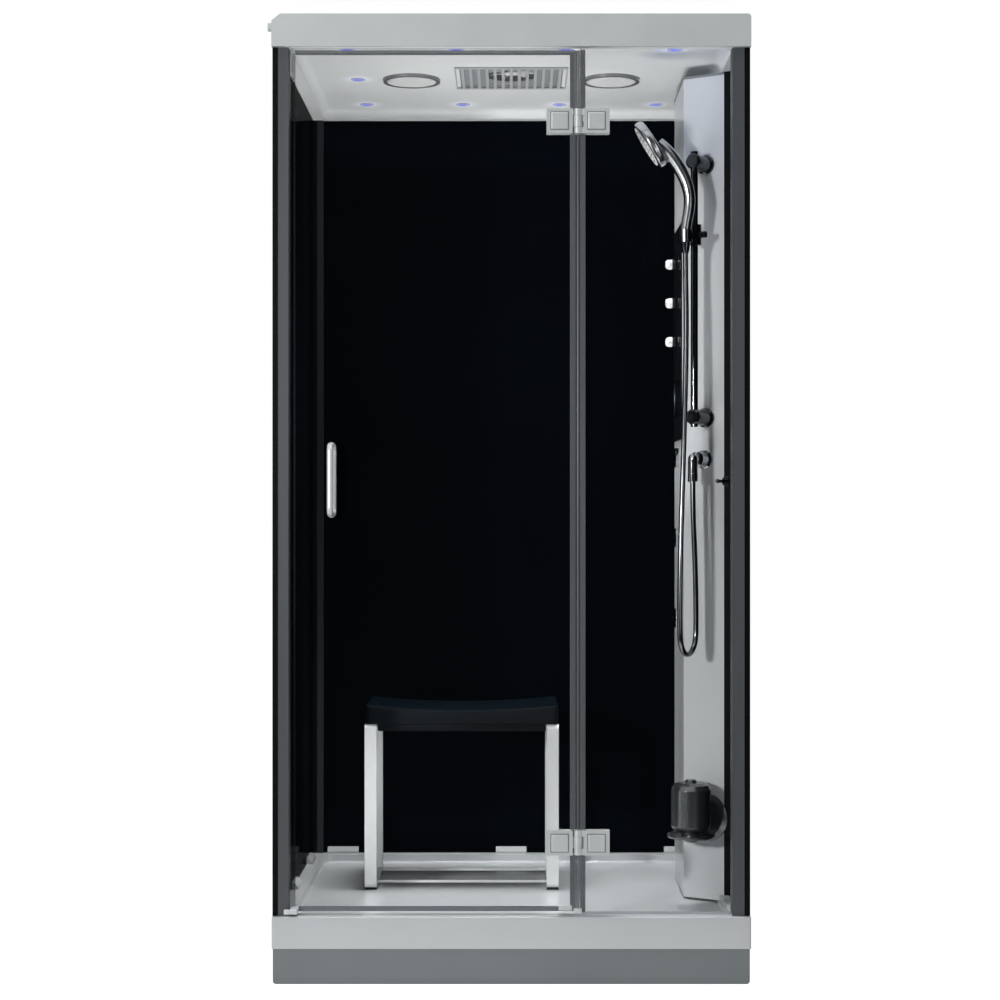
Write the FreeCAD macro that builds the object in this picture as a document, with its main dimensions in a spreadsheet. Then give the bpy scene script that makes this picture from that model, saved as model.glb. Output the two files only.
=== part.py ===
"""Steam shower cabin: tray, glass walls, hinged door, roof with lamps and fan,
function column with shower set and steam outlet, and a stool.

Frame: X to the right, Y to the back, Z up, origin on the floor under the middle
of the cabin. All sizes are millimetres.
"""
import FreeCAD, Part
import math
import os
import re

import Sketcher

DOCUMENT = FreeCAD.newDocument("steam_shower_cabin")
VECTOR = FreeCAD.Vector

SIZES = {
    # whole cabin
    "cabin_width": 1100,
    "cabin_depth": 900,
    "skirt_height": 81,
    "tray_height": 73.5,
    "wall_height": 1995.5,
    "roof_height": 75,
    # tray
    "tray_wall": 8,
    "floor_drop": 20.5,
    "side_ledge": 44,
    "front_ledge": 45,
    "back_ledge": 60,
    "basin_corner": 30,
    "basin_fillet": 5.5,
    "tray_rounding": 5,
    # skirt and stand
    "skirt_setback": 3,
    "skirt_thickness": 10,
    "skirt_corner": 8,
    "frame_tube": 30,
    "frame_wall": 2,
    "foot_inset": 35,
    "foot_radius": 20,
    "foot_height": 8,
    "stud_radius": 6,
    # drain
    "drain_left": 250,
    "drain_inset": 55,
    "drain_hole": 43,
    "drain_bore": 37,
    "drain_lip": 4,
    "drain_recess_gap": 1,
    "drain_plate": 2.5,
    "drain_neck": 20,
    "cover_overlap": 10,
    "cover_thickness": 3,
    "cover_ring": 8,
    "trap_wall": 4,
    "trap_height": 89,
    "waste_radius": 20,
    "waste_wall": 2.5,
    # glass, corner posts and channels
    "glass_thickness": 6,
    "slot_gap": 0.3,
    "slot_depth": 10,
    "wall_setback": 4.5,
    "edge_setback": 1,
    "channel_width": 13,
    "channel_depth": 26,
    "channel_back": 3,
    "post_setback": 13,
    "post_depth": 40,
    "left_post": 24,
    "right_post": 28,
    "post_wall": 2,
    "rear_post": 37,
    "back_wall": 30,
    "clip_height": 17,
    "clip_depth": 16,
    "clip_length": 84,
    "clip_lead": 6,
    "clip_corner_gap": 12,
    "side_clip_front": 75,
    "side_clip_inset": 134,
    # door, fixed panel and their seals
    "pane_setback": 35,
    "hinge_place": 154,
    "hinge_upper": 1984,
    "hinge_lower": 320,
    "door_edge_gap": 8,
    "panel_edge_gap": 6.5,
    "latch_gap": 4,
    "door_bottom_gap": 12.5,
    "door_top_gap": 7.5,
    "seal_skin": 1,
    "seal_lip": 2.5,
    "seal_grip": 13,
    "seal_running_gap": 4,
    "band_top": 11,
    "band_bottom": 10,
    "bulb_radius": 3.6,
    "bulb_web": 1.5,
    "gasket_height": 5,
    "gasket_floor": 2,
    "gasket_width": 10,
    # hinges
    "hinge_plate": 60,
    "hinge_height": 57,
    "hinge_depth": 24,
    "hinge_reach": 12.5,
    "hinge_clamp": 45,
    "knuckle_radius": 11,
    "knuckle_share": 26.4,
    "knuckle_gap": 0.5,
    "hinge_arm": 14,
    "hinge_pin": 4,
    "running_gap": 0.05,
    "notch_gap": 1.5,
    "cap_size": 38,
    "cap_relief": 1,
    # door handle
    "handle_inset": 93,
    "handle_height": 1156.5,
    "handle_length": 171,
    "handle_rise": 40,
    "handle_radius": 7,
    "handle_bend": 14,
    "boss_radius": 8.5,
    "boss_height": 4,
    # roof
    "roof_skin": 6,
    "roof_wall": 10,
    "roof_chamfer_width": 20,
    "roof_chamfer_height": 16,
    "roof_rounding": 8,
    "grommet_radius": 9.5,
    "grommet_bore": 4,
    "grommet_reach": 10.5,
    "grommet_drop": 26,
    "grommet_inset": 25,
    # ceiling and what it carries
    "liner_gap": 0.5,
    "liner_rim": 30,
    "liner_front": 14,
    "panel_rise": 13,
    "liner_skin": 4,
    "cove_rise": 23,
    "cove_radius": 22,
    "fixture_line": 5,
    "grille_width": 280,
    "grille_depth": 242,
    "grille_line": 15,
    "grille_thickness": 4,
    "grille_border": 3,
    "grille_bar": 8,
    "grille_margin": 12,
    "fan_bore": 62,
    "fan_frame": 140,
    "fan_frame_height": 26,
    "fan_plate": 3,
    "fan_spoke": 8,
    "fan_motor": 18,
    "fan_hub": 20,
    "fan_tip_gap": 4,
    "fan_shaft": 3,
    "fan_blade": 2,
    "fan_blade_height": 12,
    "lamp_place": 251,
    "lamp_radius": 71.5,
    "lamp_rim": 10,
    "lamp_drop": 8,
    "lamp_recess": 1,
    "led_inner": 129,
    "led_outer": 386,
    "led_front": 320,
    "led_back": 312,
    "led_radius": 18,
    "led_bore": 12,
    "led_drop": 2,
    "led_dome": 4,
    # function column
    "column_reach": 116.5,
    "column_flat": 275,
    "column_slant": 74,
    "column_line": 9.5,
    "column_skin": 4,
    "column_floor_gap": 6,
    "column_top_gap": 1,
    "ledge_gap": 0.5,
    "trim_width": 27,
    "trim_thickness": 1.5,
    "trim_end_gap": 0.6,
    "panel_thickness": 4,
    "panel_low": 1263,
    "panel_high": 1797,
    "panel_front": 80,
    "panel_back": 130,
    # valve and its knobs
    "knob_line": 60,
    "knob_top": 1713,
    "knob_pitch": 98.5,
    "knob_radius": 12.5,
    "knob_length": 26,
    "knob_gap": 0.3,
    "spindle_radius": 5,
    "spindle_length": 36,
    "spindle_clearance": 1.5,
    "valve_depth": 45,
    "valve_width": 50,
    "valve_margin": 36,
    "inlet_pitch": 150,
    "inlet_radius": 10.5,
    "inlet_bore": 8,
    "inlet_end_gap": 0.6,
    # body jets
    "jet_line": 25,
    "jet_radius": 25,
    "jet_drop": 12,
    "jet_neck": 15.5,
    "jet_neck_length": 22,
    "jet_ball": 12,
    "jet_ball_inset": 7.5,
    "jet_channel": 6,
    "jet_nozzle": 4,
    "jet_pin": 2.5,
    "jet_pin_reach": 13.5,
    "jet_pin_end_gap": 0.5,
    "jet_upper": 1220,
    "jet_middle": 1018,
    "jet_lower": 815,
    # shower set on the slanted face
    "rail_place": 60,
    "rail_standoff": 60,
    "rail_radius": 9,
    "rail_wall": 1.5,
    "rail_low": 1288,
    "rail_high": 1952,
    "bracket_inset": 24,
    "bracket_flange": 23.5,
    "bracket_flange_height": 6,
    "bracket_radius": 19,
    "bracket_overreach": 12,
    "slider_height": 1750,
    "slider_length": 50,
    "slider_wall": 8,
    "arm_radius": 6.5,
    "arm_length": 28,
    "arm_pin": 3.5,
    "arm_pin_length": 14,
    "seat_gap": 0.3,
    "clamp_radius": 8,
    "clamp_length": 22,
    "cup_place": 46,
    "cup_radius": 17,
    "cup_height": 30,
    "cup_top_bore": 13.6,
    "cup_bottom_bore": 11.8,
    "cup_slot": 16,
    "elbow_place": 56,
    "elbow_height": 1211,
    "elbow_flange": 23,
    "elbow_flange_height": 8,
    "elbow_arm": 18,
    "elbow_arm_end_gap": 14.5,
    "elbow_radius": 12,
    "elbow_drop": 36,
    "elbow_nut": 12.5,
    "elbow_nut_length": 20,
    "hose_radius": 6.5,
    "hose_nut_radius": 10.5,
    "hose_nut_length": 27,
    "handset_neck": 2,
    # steam outlet and generator
    "outlet_place": 60,
    "outlet_height": 377,
    "outlet_standoff": 78,
    "outlet_mount_drop": 37,
    "outlet_flange": 60,
    "outlet_flange_height": 9,
    "outlet_flange_bevel": 12,
    "outlet_neck": 20,
    "outlet_radius": 48,
    "outlet_low": 60,
    "outlet_rounding": 13,
    "outlet_seam": 16,
    "outlet_cup": 30,
    "outlet_cup_depth": 27,
    "dish_radius": 58,
    "dish_drop": 72,
    "dish_floor": 3.5,
    "dish_rim": 3,
    "dish_rim_rise": 4,
    "dish_stem": 24,
    "spout_radius": 14,
    "spout_drop": 87,
    "cap_rise": 40,
    "cap_rounding": 16,
    "cap_plug_gap": 2,
    "cap_button": 13,
    "cap_button_rise": 7,
    "generator_depth": 90,
    "generator_front": 100,
    "generator_back": 120,
    "generator_low": 250,
    "generator_high": 560,
    "steam_pipe": 9,
    "steam_pipe_reach": 85,
    # robe hook
    "hook_place": 118,
    "hook_height": 1157,
    "hook_base": 12,
    "hook_base_height": 6,
    "hook_stem": 4,
    "hook_reach": 52,
    "hook_end": 5.5,
    # stool
    "stool_line": 124.5,
    "stool_width": 487,
    "stool_front": 19,
    "stool_depth": 253,
    "stool_leg_height": 417,
    "leg_width": 30,
    "leg_thickness": 9,
    "leg_corner": 12,
    "leg_ground_gap": 6,
    "stretcher_radius": 4,
    "stretcher_front": 50,
    "stretcher_back": 220,
    "tip_length": 26,
    "seat_height": 49,
    "seat_lip": 19,
    "seat_lip_inset": 10,
    "seat_dip": 13,
}

PLACES = {
    "half_width": "cabin_width / 2",
    "half_depth": "cabin_depth / 2",
    "rim_z": "skirt_height + tray_height",
    "roof_z": "rim_z + wall_height",
    "top_z": "roof_z + roof_height",
    "floor_z": "rim_z - floor_drop",
    "under_z": "floor_z - tray_wall",
    "basin_x": "half_width - side_ledge",
    "basin_front": "front_ledge - half_depth",
    "basin_back": "half_depth - back_ledge",
    "drain_y": "basin_front + drain_inset",
    "recess_z": "floor_z - drain_plate - cover_thickness",
    "waste_z": "under_z - trap_height + trap_wall + waste_radius - waste_wall + 0.5",
    "skirt_x": "half_width - skirt_setback",
    "skirt_y": "half_depth - skirt_setback",
    "foot_x": "half_width - foot_inset",
    "foot_y": "half_depth - foot_inset",
    "frame_z": "under_z - frame_tube",
    "half_tube": "frame_tube / 2",
    # walls: outer and inner faces of the side glass, faces of the back glass
    "wall_out": "half_width - wall_setback",
    "wall_in": "wall_out - glass_thickness",
    "edge_out": "half_width - edge_setback",
    "edge_in": "edge_out - channel_width",
    "post_front": "post_setback - half_depth",
    "post_back": "post_front + post_depth",
    "rear_in": "edge_out - rear_post",
    "rear_out_y": "half_depth - edge_setback",
    "rear_in_y": "rear_out_y - rear_post",
    "back_in": "half_depth - back_wall",
    "back_out": "back_in + glass_thickness",
    "back_clip_x": "rear_in - clip_corner_gap - clip_length / 2",
    "side_clip_y": "rear_in_y - side_clip_inset",
    "jamb_left": "left_post - edge_in",
    "jamb_right": "edge_in - right_post",
    # front glass plane and door
    "pane_y": "pane_setback - half_depth",
    "half_glass": "glass_thickness / 2",
    "half_seal": "half_glass + seal_skin",
    "door_right": "hinge_place - door_edge_gap",
    "door_left": "jamb_left + latch_gap",
    "door_low": "rim_z + door_bottom_gap",
    "door_high": "roof_z - door_top_gap",
    "seal_low": "rim_z + door_bottom_gap - band_bottom / 2",
    "seal_high": "roof_z - door_top_gap + band_top / 2",
    "panel_left": "hinge_place + panel_edge_gap",
    "hinge_cut": "hinge_height / 2 + notch_gap",
    "handle_x": "door_left + handle_inset",
    # ceiling
    "liner_x": "half_width - roof_wall - liner_gap",
    "liner_y": "half_depth - roof_wall - liner_gap",
    "ceiling_z": "roof_z + cove_rise",
    "loft_z": "ceiling_z + liner_skin",
    # column
    "column_x": "wall_in - column_reach",
    "column_front": "column_line - column_flat / 2",
    "column_back": "column_line + column_flat / 2",
    "column_low": "floor_z + column_floor_gap",
    "column_high": "roof_z - column_top_gap",
    "slant_length": "sqrt(column_reach ^ 2 + column_slant ^ 2)",
    "skin_shift": "column_skin * slant_length / column_reach",
    "skin_step": "column_slant * column_skin / column_reach",
    "panel_x": "column_x - panel_thickness",
    "valve_x": "column_x + column_skin",
    "knob_low": "knob_top - 2 * knob_pitch",
    "knob_middle": "knob_top - knob_pitch",
    "jet_front": "column_x - jet_drop",
    "jet_centre": "jet_front + jet_ball_inset",
    "rail_bore": "rail_radius + running_gap",
    "slider_radius": "rail_radius + slider_wall",
    "cup_low": "slider_height - cup_height / 2 - 8",
    "cup_high": "cup_low + cup_height",
    "outlet_line": "outlet_height - outlet_mount_drop",
    # stool
    "stool_left": "-stool_line - stool_width / 2",
    "stool_right": "stool_width / 2 - stool_line",
    "stool_back": "stool_depth - stool_front",
    "leg_low": "floor_z + leg_ground_gap",
    "leg_high": "floor_z + stool_leg_height",
    "seat_high": "leg_high + seat_height",
    "dip_radius": "(stool_width ^ 2 / 4 + seat_dip ^ 2) / (2 * seat_dip)",
}

GRILLE_SLOTS = 14
FAN_BLADES = 7
SIDES = (-1, 1)
LEG_SIDES = ("stool_left", "stool_right - leg_width")
TURN = {
    "X": FreeCAD.Rotation(VECTOR(0, 1, 0), 90),
    "-X": FreeCAD.Rotation(VECTOR(0, 1, 0), -90),
    "Y": FreeCAD.Rotation(VECTOR(1, 0, 0), -90),
    "Z": FreeCAD.Rotation(),
}

# Handset handle: step to the right of its cup, height above the cup, radius.
HANDLE_SECTIONS = (
    (0, 0, 13.3),
    (3.5, 22, 13.2),
    (8, 50, 13.6),
    (9, 80, 14),
    (2, 112, 14.5),
    (-17, 151, 15.5),
    (-42, 185, 16),
    (-66, 208, 15),
)
# Spray face of the handset: its two ends, as steps from the top of the cup.
FACE_TOP = (-125, 251)
FACE_BOTTOM = (-62, 148)
FACE_HALF_WIDTH = 41
HEAD_THICKNESS = 22
FACE_INSET = 7
FACE_PROUD = 1.5

# Corner points of the shower hose, from the elbow's nut to the handset's nut.
HOSE_ROUTE = (
    (438.1, -208.67, 1155),
    (438.1, -208.67, 1085),
    (443, -206.5, 985),
    (445.5, -206, 890),
    (446, -206.2, 820),
    (445, -207.5, 769),
    (432, -231, 742),
    (414, -264, 742),
    (401, -288, 769),
    (399.5, -290.5, 825),
    (399.8, -290.8, 890),
    (401.5, -288.5, 980),
    (405, -282.5, 1090),
    (409.5, -274, 1210),
    (414, -263.5, 1330),
    (417.2, -256.5, 1450),
    (418.4, -252.5, 1560),
    (416.81, -249.64, 1640),
    (416.81, -249.64, 1702),
)


def make_sheet(name, cells):
    """A sheet with one aliased cell for each named value."""
    sheet = DOCUMENT.addObject("Spreadsheet::Sheet", name)
    for row, (alias, content) in enumerate(cells.items(), start=1):
        sheet.set(f"A{row}", alias)
        sheet.set(f"B{row}", content)
        sheet.setAlias(f"B{row}", alias)
    return sheet


def expand(text):
    """Names the sheet of every value that an expression uses."""
    def named(match):
        word = match.group()
        if word in SIZES:
            return f"Sizes.{word}"
        if word in PLACES:
            return f"Places.{word}"
        return word
    return re.sub(r"[a-z_]+", named, str(text))


SIZE_SHEET = make_sheet("Sizes", {name: str(number) for name, number in SIZES.items()})
PLACE_SHEET = make_sheet("Places", {name: "=" + expand(text) for name, text in PLACES.items()})
DOCUMENT.recompute()


def size(name):
    """The present number of a named value."""
    return float(getattr(SIZE_SHEET if name in SIZES else PLACE_SHEET, name))


def bind(item, **links):
    """Ties properties to expressions; a double underscore stands for a dot."""
    for name, text in links.items():
        item.setExpression(name.replace("__", "."), expand(text))
    return item


def at(item, place):
    """Ties an object's place to 'x, y, z'."""
    for axis, text in zip("xyz", place.split(",")):
        item.setExpression(f"Placement.Base.{axis}", expand(text))
    return item


def box(low, high):
    """A box between two corners, each written as 'x, y, z'."""
    item = DOCUMENT.addObject("Part::Box", "Box")
    sides = ("Length", "Width", "Height")
    for side, start, end in zip(sides, low.split(","), high.split(",")):
        item.setExpression(side, expand(f"({end}) - ({start})"))
    return at(item, low)


def rod(start, radius, length, axis="Z"):
    """A cylinder that leaves 'x, y, z' along an axis."""
    item = DOCUMENT.addObject("Part::Cylinder", "Rod")
    item.Placement = FreeCAD.Placement(VECTOR(), TURN[axis])
    return at(bind(item, Radius=radius, Height=length), start)


def ball(centre, radius):
    """A sphere about 'x, y, z'."""
    item = DOCUMENT.addObject("Part::Sphere", "Ball")
    return at(bind(item, Radius=radius), centre)


def fuse(*items):
    """One solid from overlapping or touching ones."""
    item = DOCUMENT.addObject("Part::MultiFuse", "Fusion")
    item.Shapes = items
    item.Refine = True
    return item


def cut(base, *tools):
    """A solid without the space of the tools."""
    item = DOCUMENT.addObject("Part::Cut", "Cut")
    item.Base = base
    item.Tool = tools[0] if len(tools) == 1 else fuse(*tools)
    item.Refine = True
    return item


def group(*items):
    """Several separate solids that share a node."""
    item = DOCUMENT.addObject("Part::Compound", "Group")
    item.Links = items
    return item


def plane(body, role):
    """One of a body's own origin planes."""
    return next(item for item in body.Origin.OriginFeatures if item.Role == role)


def outline(body, role, points, lift="0"):
    """A closed sketch through points written as 'x, y', on an origin plane."""
    drawing = body.newObject("Sketcher::SketchObject", "Outline")
    drawing.AttachmentSupport = [(plane(body, role), "")]
    drawing.MapMode = "FlatFace"
    drawing.setExpression("AttachmentOffset.Base.z", expand(lift))
    corners = [point.split(",") for point in points]
    rough = [VECTOR(math.cos(step), math.sin(step), 0)
             for step in (2 * math.pi * k / len(points) for k in range(len(points)))]
    for start, end in zip(rough, rough[1:] + rough[:1]):
        drawing.addGeometry(Part.LineSegment(start, end), False)
    for line, corner in enumerate(corners):
        following = (line + 1) % len(corners)
        drawing.addConstraint(Sketcher.Constraint("Coincident", line, 2, following, 1))
        for kind, text in zip(("DistanceX", "DistanceY"), corner):
            index = drawing.addConstraint(Sketcher.Constraint(kind, -1, 1, line, 1, 1.0))
            drawing.setExpression(f"Constraints[{index}]", expand(text))
    return drawing


def rectangle(x, y):
    """The four corners of a rectangle that is centred on a body's origin."""
    return (f"-({x}), -({y})", f"{x}, -({y})", f"{x}, {y}", f"-({x}), {y}")


def padded(role, points, length, lift="0"):
    """A body with one pad of an outline."""
    body = DOCUMENT.addObject("PartDesign::Body", "Body")
    pad = body.newObject("PartDesign::Pad", "Pad")
    pad.Profile = outline(body, role, points, lift)
    bind(pad, Length=length)
    return body


def pocket(body, points, depth, lift="0", upward=False):
    """Cuts a body's XY outline down, or up, from a height."""
    feature = body.newObject("PartDesign::Pocket", "Pocket")
    feature.Profile = outline(body, "XY_Plane", points, lift)
    feature.Reversed = upward
    bind(feature, Length=depth)
    DOCUMENT.recompute()


def edges_where(feature, test):
    """Names of a feature's edges whose middle point passes a test."""
    names = []
    for number, edge in enumerate(feature.Shape.Edges, start=1):
        low, high = edge.ParameterRange
        if test(edge.valueAt((low + high) / 2), edge.tangentAt((low + high) / 2)):
            names.append(f"Edge{number}")
    return names


def fillet(body, radius, test):
    """Rounds those edges of a body that pass a test."""
    DOCUMENT.recompute()
    base = body.Tip
    feature = body.newObject("PartDesign::Fillet", "Fillet")
    feature.Base = (base, edges_where(base, test))
    bind(feature, Radius=radius)


def turned(points):
    """A body turned about its Z axis from 'radius, height' points."""
    body = DOCUMENT.addObject("PartDesign::Body", "Turned")
    feature = body.newObject("PartDesign::Revolution", "Revolution")
    feature.Profile = outline(body, "XZ_Plane", points)
    feature.ReferenceAxis = (feature.Profile[0], ["V_Axis"])
    feature.Angle = 360
    return body


def ring(inner, outer, low, high):
    """A turned ring of rectangular section."""
    return turned((f"{inner}, {low}", f"{outer}, {low}", f"{outer}, {high}", f"{inner}, {high}"))


def facing(body, place, axis):
    """Puts a turned body at 'x, y, z', its Z axis along another axis."""
    body.Placement = FreeCAD.Placement(VECTOR(), TURN[axis])
    return at(body, place)


def solid(shape, label):
    """A document object that holds a shape worked out here."""
    item = DOCUMENT.addObject("Part::Feature", label)
    item.Shape = shape
    return item


def name_part(label, item):
    """Gives a sub-part its name."""
    DOCUMENT.recompute()
    item.Label = label
    return item


def slant_point(along, out, height):
    """A point measured along and out of the column's slanted front face."""
    reach = size("column_reach") / size("slant_length")
    slant = size("column_slant") / size("slant_length")
    return VECTOR(
        size("column_x") + along * reach - out * slant,
        size("column_front") - along * slant - out * reach,
        height,
    )


def slant_normal():
    """The direction that the slanted face looks in."""
    return slant_point(0, 1, 0) - slant_point(0, 0, 0)


def slant_side():
    """The level direction along the slanted face, towards the wall."""
    return slant_point(1, 0, 0) - slant_point(0, 0, 0)


def stand_off(item, along, out, height):
    """Puts an object on the slanted face, its Z axis along the face's normal."""
    rotation = FreeCAD.Rotation(VECTOR(0, 0, 1), slant_normal())
    item.Placement = FreeCAD.Placement(slant_point(along, out, height), rotation)
    return item


def stand_up(item, along, out, height):
    """Puts an object upright in front of the slanted face."""
    item.Placement = FreeCAD.Placement(slant_point(along, out, height), FreeCAD.Rotation())
    return item


# ---------------------------------------------------------------- tray and stand
def shower_tray():
    """Acrylic tray: deep apron, sunk basin and a hollow underside."""
    body = padded("XY_Plane", rectangle("half_width", "half_depth"), "tray_height")
    at(body, "0, 0, skirt_height")
    basin = ("-basin_x, basin_front", "basin_x, basin_front",
             "basin_x, basin_back", "-basin_x, basin_back")
    pocket(body, basin, "floor_drop", lift="tray_height")
    inside = rectangle("half_width - tray_wall", "half_depth - tray_wall")
    pocket(body, inside, "tray_height - floor_drop - tray_wall", upward=True)
    basin_edges = (size("basin_x"), size("basin_back"), size("tray_height"))

    def basin_upright(point, run):
        inner = abs(point.x) < basin_edges[0] + 1 and point.y < basin_edges[1] + 1
        return abs(run.z) > 0.9 and inner and point.z > basin_edges[2] / 2

    def outer_upright(point, run):
        return abs(run.z) > 0.9 and abs(point.x) > size("half_width") - 1

    def outer_rim(point, run):
        far = abs(point.x) > size("half_width") - 1 or abs(point.y) > size("half_depth") - 1
        return far and point.z > basin_edges[2] - 1 and abs(run.z) < 0.9

    fillet(body, "basin_corner", basin_upright)
    fillet(body, "tray_rounding", outer_upright)
    fillet(body, "tray_rounding / 2", outer_rim)
    floor = size("tray_height") - size("floor_drop")
    DOCUMENT.recompute()

    def floor_line(point, run):
        return abs(point.z - floor) < 0.5 and abs(run.z) < 0.1

    fillet(body, "basin_fillet", floor_line)
    hole = rod("-drain_left, drain_y, under_z - 1", "drain_hole", "tray_wall + 2")
    recess = rod("-drain_left, drain_y, recess_z", "drain_hole + drain_lip + drain_recess_gap",
                 "tray_wall")
    return name_part("shower_tray", cut(body, hole, recess))


def skirt_panels():
    """Three panels that close the stand at the front and both sides."""
    front = padded("XZ_Plane", ("-skirt_x, 0", "skirt_x, 0", "skirt_x, skirt_height",
                                "-skirt_x, skirt_height"), "skirt_thickness")
    at(front, "0, skirt_thickness - skirt_y, 0")
    fillet(front, "skirt_corner", lambda point, run: abs(run.y) > 0.9 and point.z < 1)
    inner = "skirt_x - skirt_thickness"
    right = box(f"{inner}, skirt_thickness - skirt_y, 0", "skirt_x, skirt_y, skirt_height")
    left = box("-skirt_x, skirt_thickness - skirt_y, 0", f"-({inner}), skirt_y, skirt_height")
    return name_part("skirt_panels", group(front, left, right))


def tube(low, high, axis):
    """A square tube between two corners, hollow along X or Y."""
    def inset(corner, sign):
        parts = corner.split(",")
        for place, letter in enumerate("XYZ"):
            step = "1" if letter == axis else "frame_wall"
            out = sign if letter != axis else -sign
            parts[place] = f"{parts[place]} {'+' if out > 0 else '-'} {step}"
        return ",".join(parts)
    return cut(box(low, high), box(inset(low, 1), inset(high, -1)))


def tray_frame():
    """Square steel tubes that carry the tray."""
    tubes = []
    for side in SIDES:
        middle = f"{side} * foot_y"
        tubes.append(tube(f"-foot_x - half_tube, {middle} - half_tube, frame_z",
                          f"foot_x + half_tube, {middle} + half_tube, under_z", "X"))
    for side in (-1, 0, 1):
        middle = f"{side} * foot_x"
        tubes.append(tube(f"{middle} - half_tube, half_tube - foot_y, frame_z",
                          f"{middle} + half_tube, foot_y - half_tube, under_z", "Y"))
    return name_part("tray_frame", group(*tubes))


def adjustable_feet():
    """Levelling feet: a round pad with a threaded stud, seven in all."""
    feet = []
    spots = [(x, y) for x in (-1, 0, 1) for y in SIDES] + [(0, 0)]
    for x, y in spots:
        foot = turned(("0, 0", "foot_radius, 0", "foot_radius, foot_height / 2",
                       "stud_radius * 1.5, foot_height", "stud_radius, foot_height",
                       "stud_radius, frame_z", "0, frame_z"))
        feet.append(at(foot, f"{x} * foot_x, {y} * foot_y, 0"))
    return name_part("adjustable_feet", group(*feet))


def drain_flange():
    """Ring in the recess of the tray floor, with the neck that screws into the trap."""
    body = turned(("drain_bore, -drain_neck", "drain_hole - 1, -drain_neck", "drain_hole - 1, 0",
                   "drain_hole + drain_lip, 0", "drain_hole + drain_lip, drain_plate / 2",
                   "drain_hole + drain_lip - 2, drain_plate", "drain_bore, drain_plate"))
    return name_part("drain_flange", at(body, "-drain_left, drain_y, recess_z"))


def drain_cover():
    """Loose round cover that lifts out of the drain."""
    body = turned(("0, 0", "drain_bore - 3, 0", "drain_bore - 3, -cover_ring",
                   "drain_bore - 0.4, -cover_ring", "drain_bore - 0.4, 0",
                   "drain_bore + cover_overlap, 0",
                   "drain_bore + cover_overlap - 2, cover_thickness", "0, cover_thickness"))
    return name_part("drain_cover", at(body, "-drain_left, drain_y, recess_z + drain_plate"))


def drain_trap():
    """Water trap under the tray with its waste pipe to the back."""
    cup = rod("-drain_left, drain_y, under_z - trap_height", "drain_hole - 0.7 + trap_wall",
              "trap_height")
    hollow = rod("-drain_left, drain_y, under_z - trap_height + trap_wall", "drain_hole - 0.7",
                 "trap_height")
    start = "-drain_left, drain_y, waste_z"
    pipe = rod(start, "waste_radius", "half_depth - drain_y - 1", "Y")
    bore = rod(start, "waste_radius - waste_wall", "half_depth - drain_y", "Y")
    return name_part("drain_trap", cut(fuse(cup, pipe), hollow, bore))


# ---------------------------------------------------------------- walls
def panel_clips():
    """Wedge clips on the tray's ledge that hold the foot of the wall glass."""
    profile = ("0, 0", "-clip_depth, 0", "-clip_depth, clip_lead",
               "-clip_lead, clip_height", "0, clip_height")
    clips = []
    for side in (-1, 0, 1):
        clip = padded("YZ_Plane", profile, "clip_length")
        clips.append(at(clip, f"{side} * back_clip_x - clip_length / 2, back_in, rim_z"))
    for side, along in ((-1, "-side_clip_front"), (-1, "side_clip_y"), (1, "side_clip_y")):
        clip = padded("YZ_Plane", profile, "clip_length")
        clip.Placement = FreeCAD.Placement(VECTOR(), FreeCAD.Rotation(VECTOR(0, 0, 1), -90 * side))
        clips.append(at(clip, f"{side} * wall_in, {along} + {side} * clip_length / 2, rim_z"))
    return name_part("panel_clips", group(*clips))


def front_posts():
    """Hollow aluminium posts: the door's jamb and the fixed panel's post."""
    left = cut(box("-edge_in, post_front, rim_z", "jamb_left, post_back, roof_z"),
               box("-edge_in + post_wall, post_front + post_wall, rim_z - 1",
                   "jamb_left - post_wall, post_back - post_wall, roof_z + 1"))
    right = cut(box("jamb_right, post_front, rim_z", "edge_in, post_back, roof_z"),
                box("jamb_right + slot_depth + 2 * post_wall, post_front + post_wall, rim_z - 1",
                    "edge_in - post_wall, post_back - post_wall, roof_z + 1"),
                box("jamb_right - 1, pane_y - half_glass - slot_gap, rim_z - 1",
                    "jamb_right + slot_depth, pane_y + half_glass + slot_gap, roof_z + 1"))
    return name_part("front_posts", group(left, right))


def rear_posts():
    """Corner posts at the back with a slot for the side and the back glass."""
    posts = []
    for side in SIDES:
        outer, inner = ("edge_out", "rear_in") if side > 0 else ("-rear_in", "-edge_out")
        block = box(f"{inner}, rear_in_y, rim_z", f"{outer}, rear_out_y, roof_z")
        ends = sorted((f"{side} * (wall_in - slot_gap)", f"{side} * (wall_out + slot_gap)"),
                      reverse=side < 0)
        side_slot = box(f"{ends[0]}, rear_in_y - 1, rim_z - 1",
                        f"{ends[1]}, rear_in_y + slot_depth, roof_z + 1")
        ends = (("rear_in - 1", "rear_in + slot_depth") if side > 0
                else ("-rear_in - slot_depth", "1 - rear_in"))
        back_slot = box(f"{ends[0]}, back_in - slot_gap, rim_z - 1",
                        f"{ends[1]}, back_out + slot_gap, roof_z + 1")
        posts.append(cut(block, side_slot, back_slot))
    return name_part("rear_posts", group(*posts))


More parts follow.
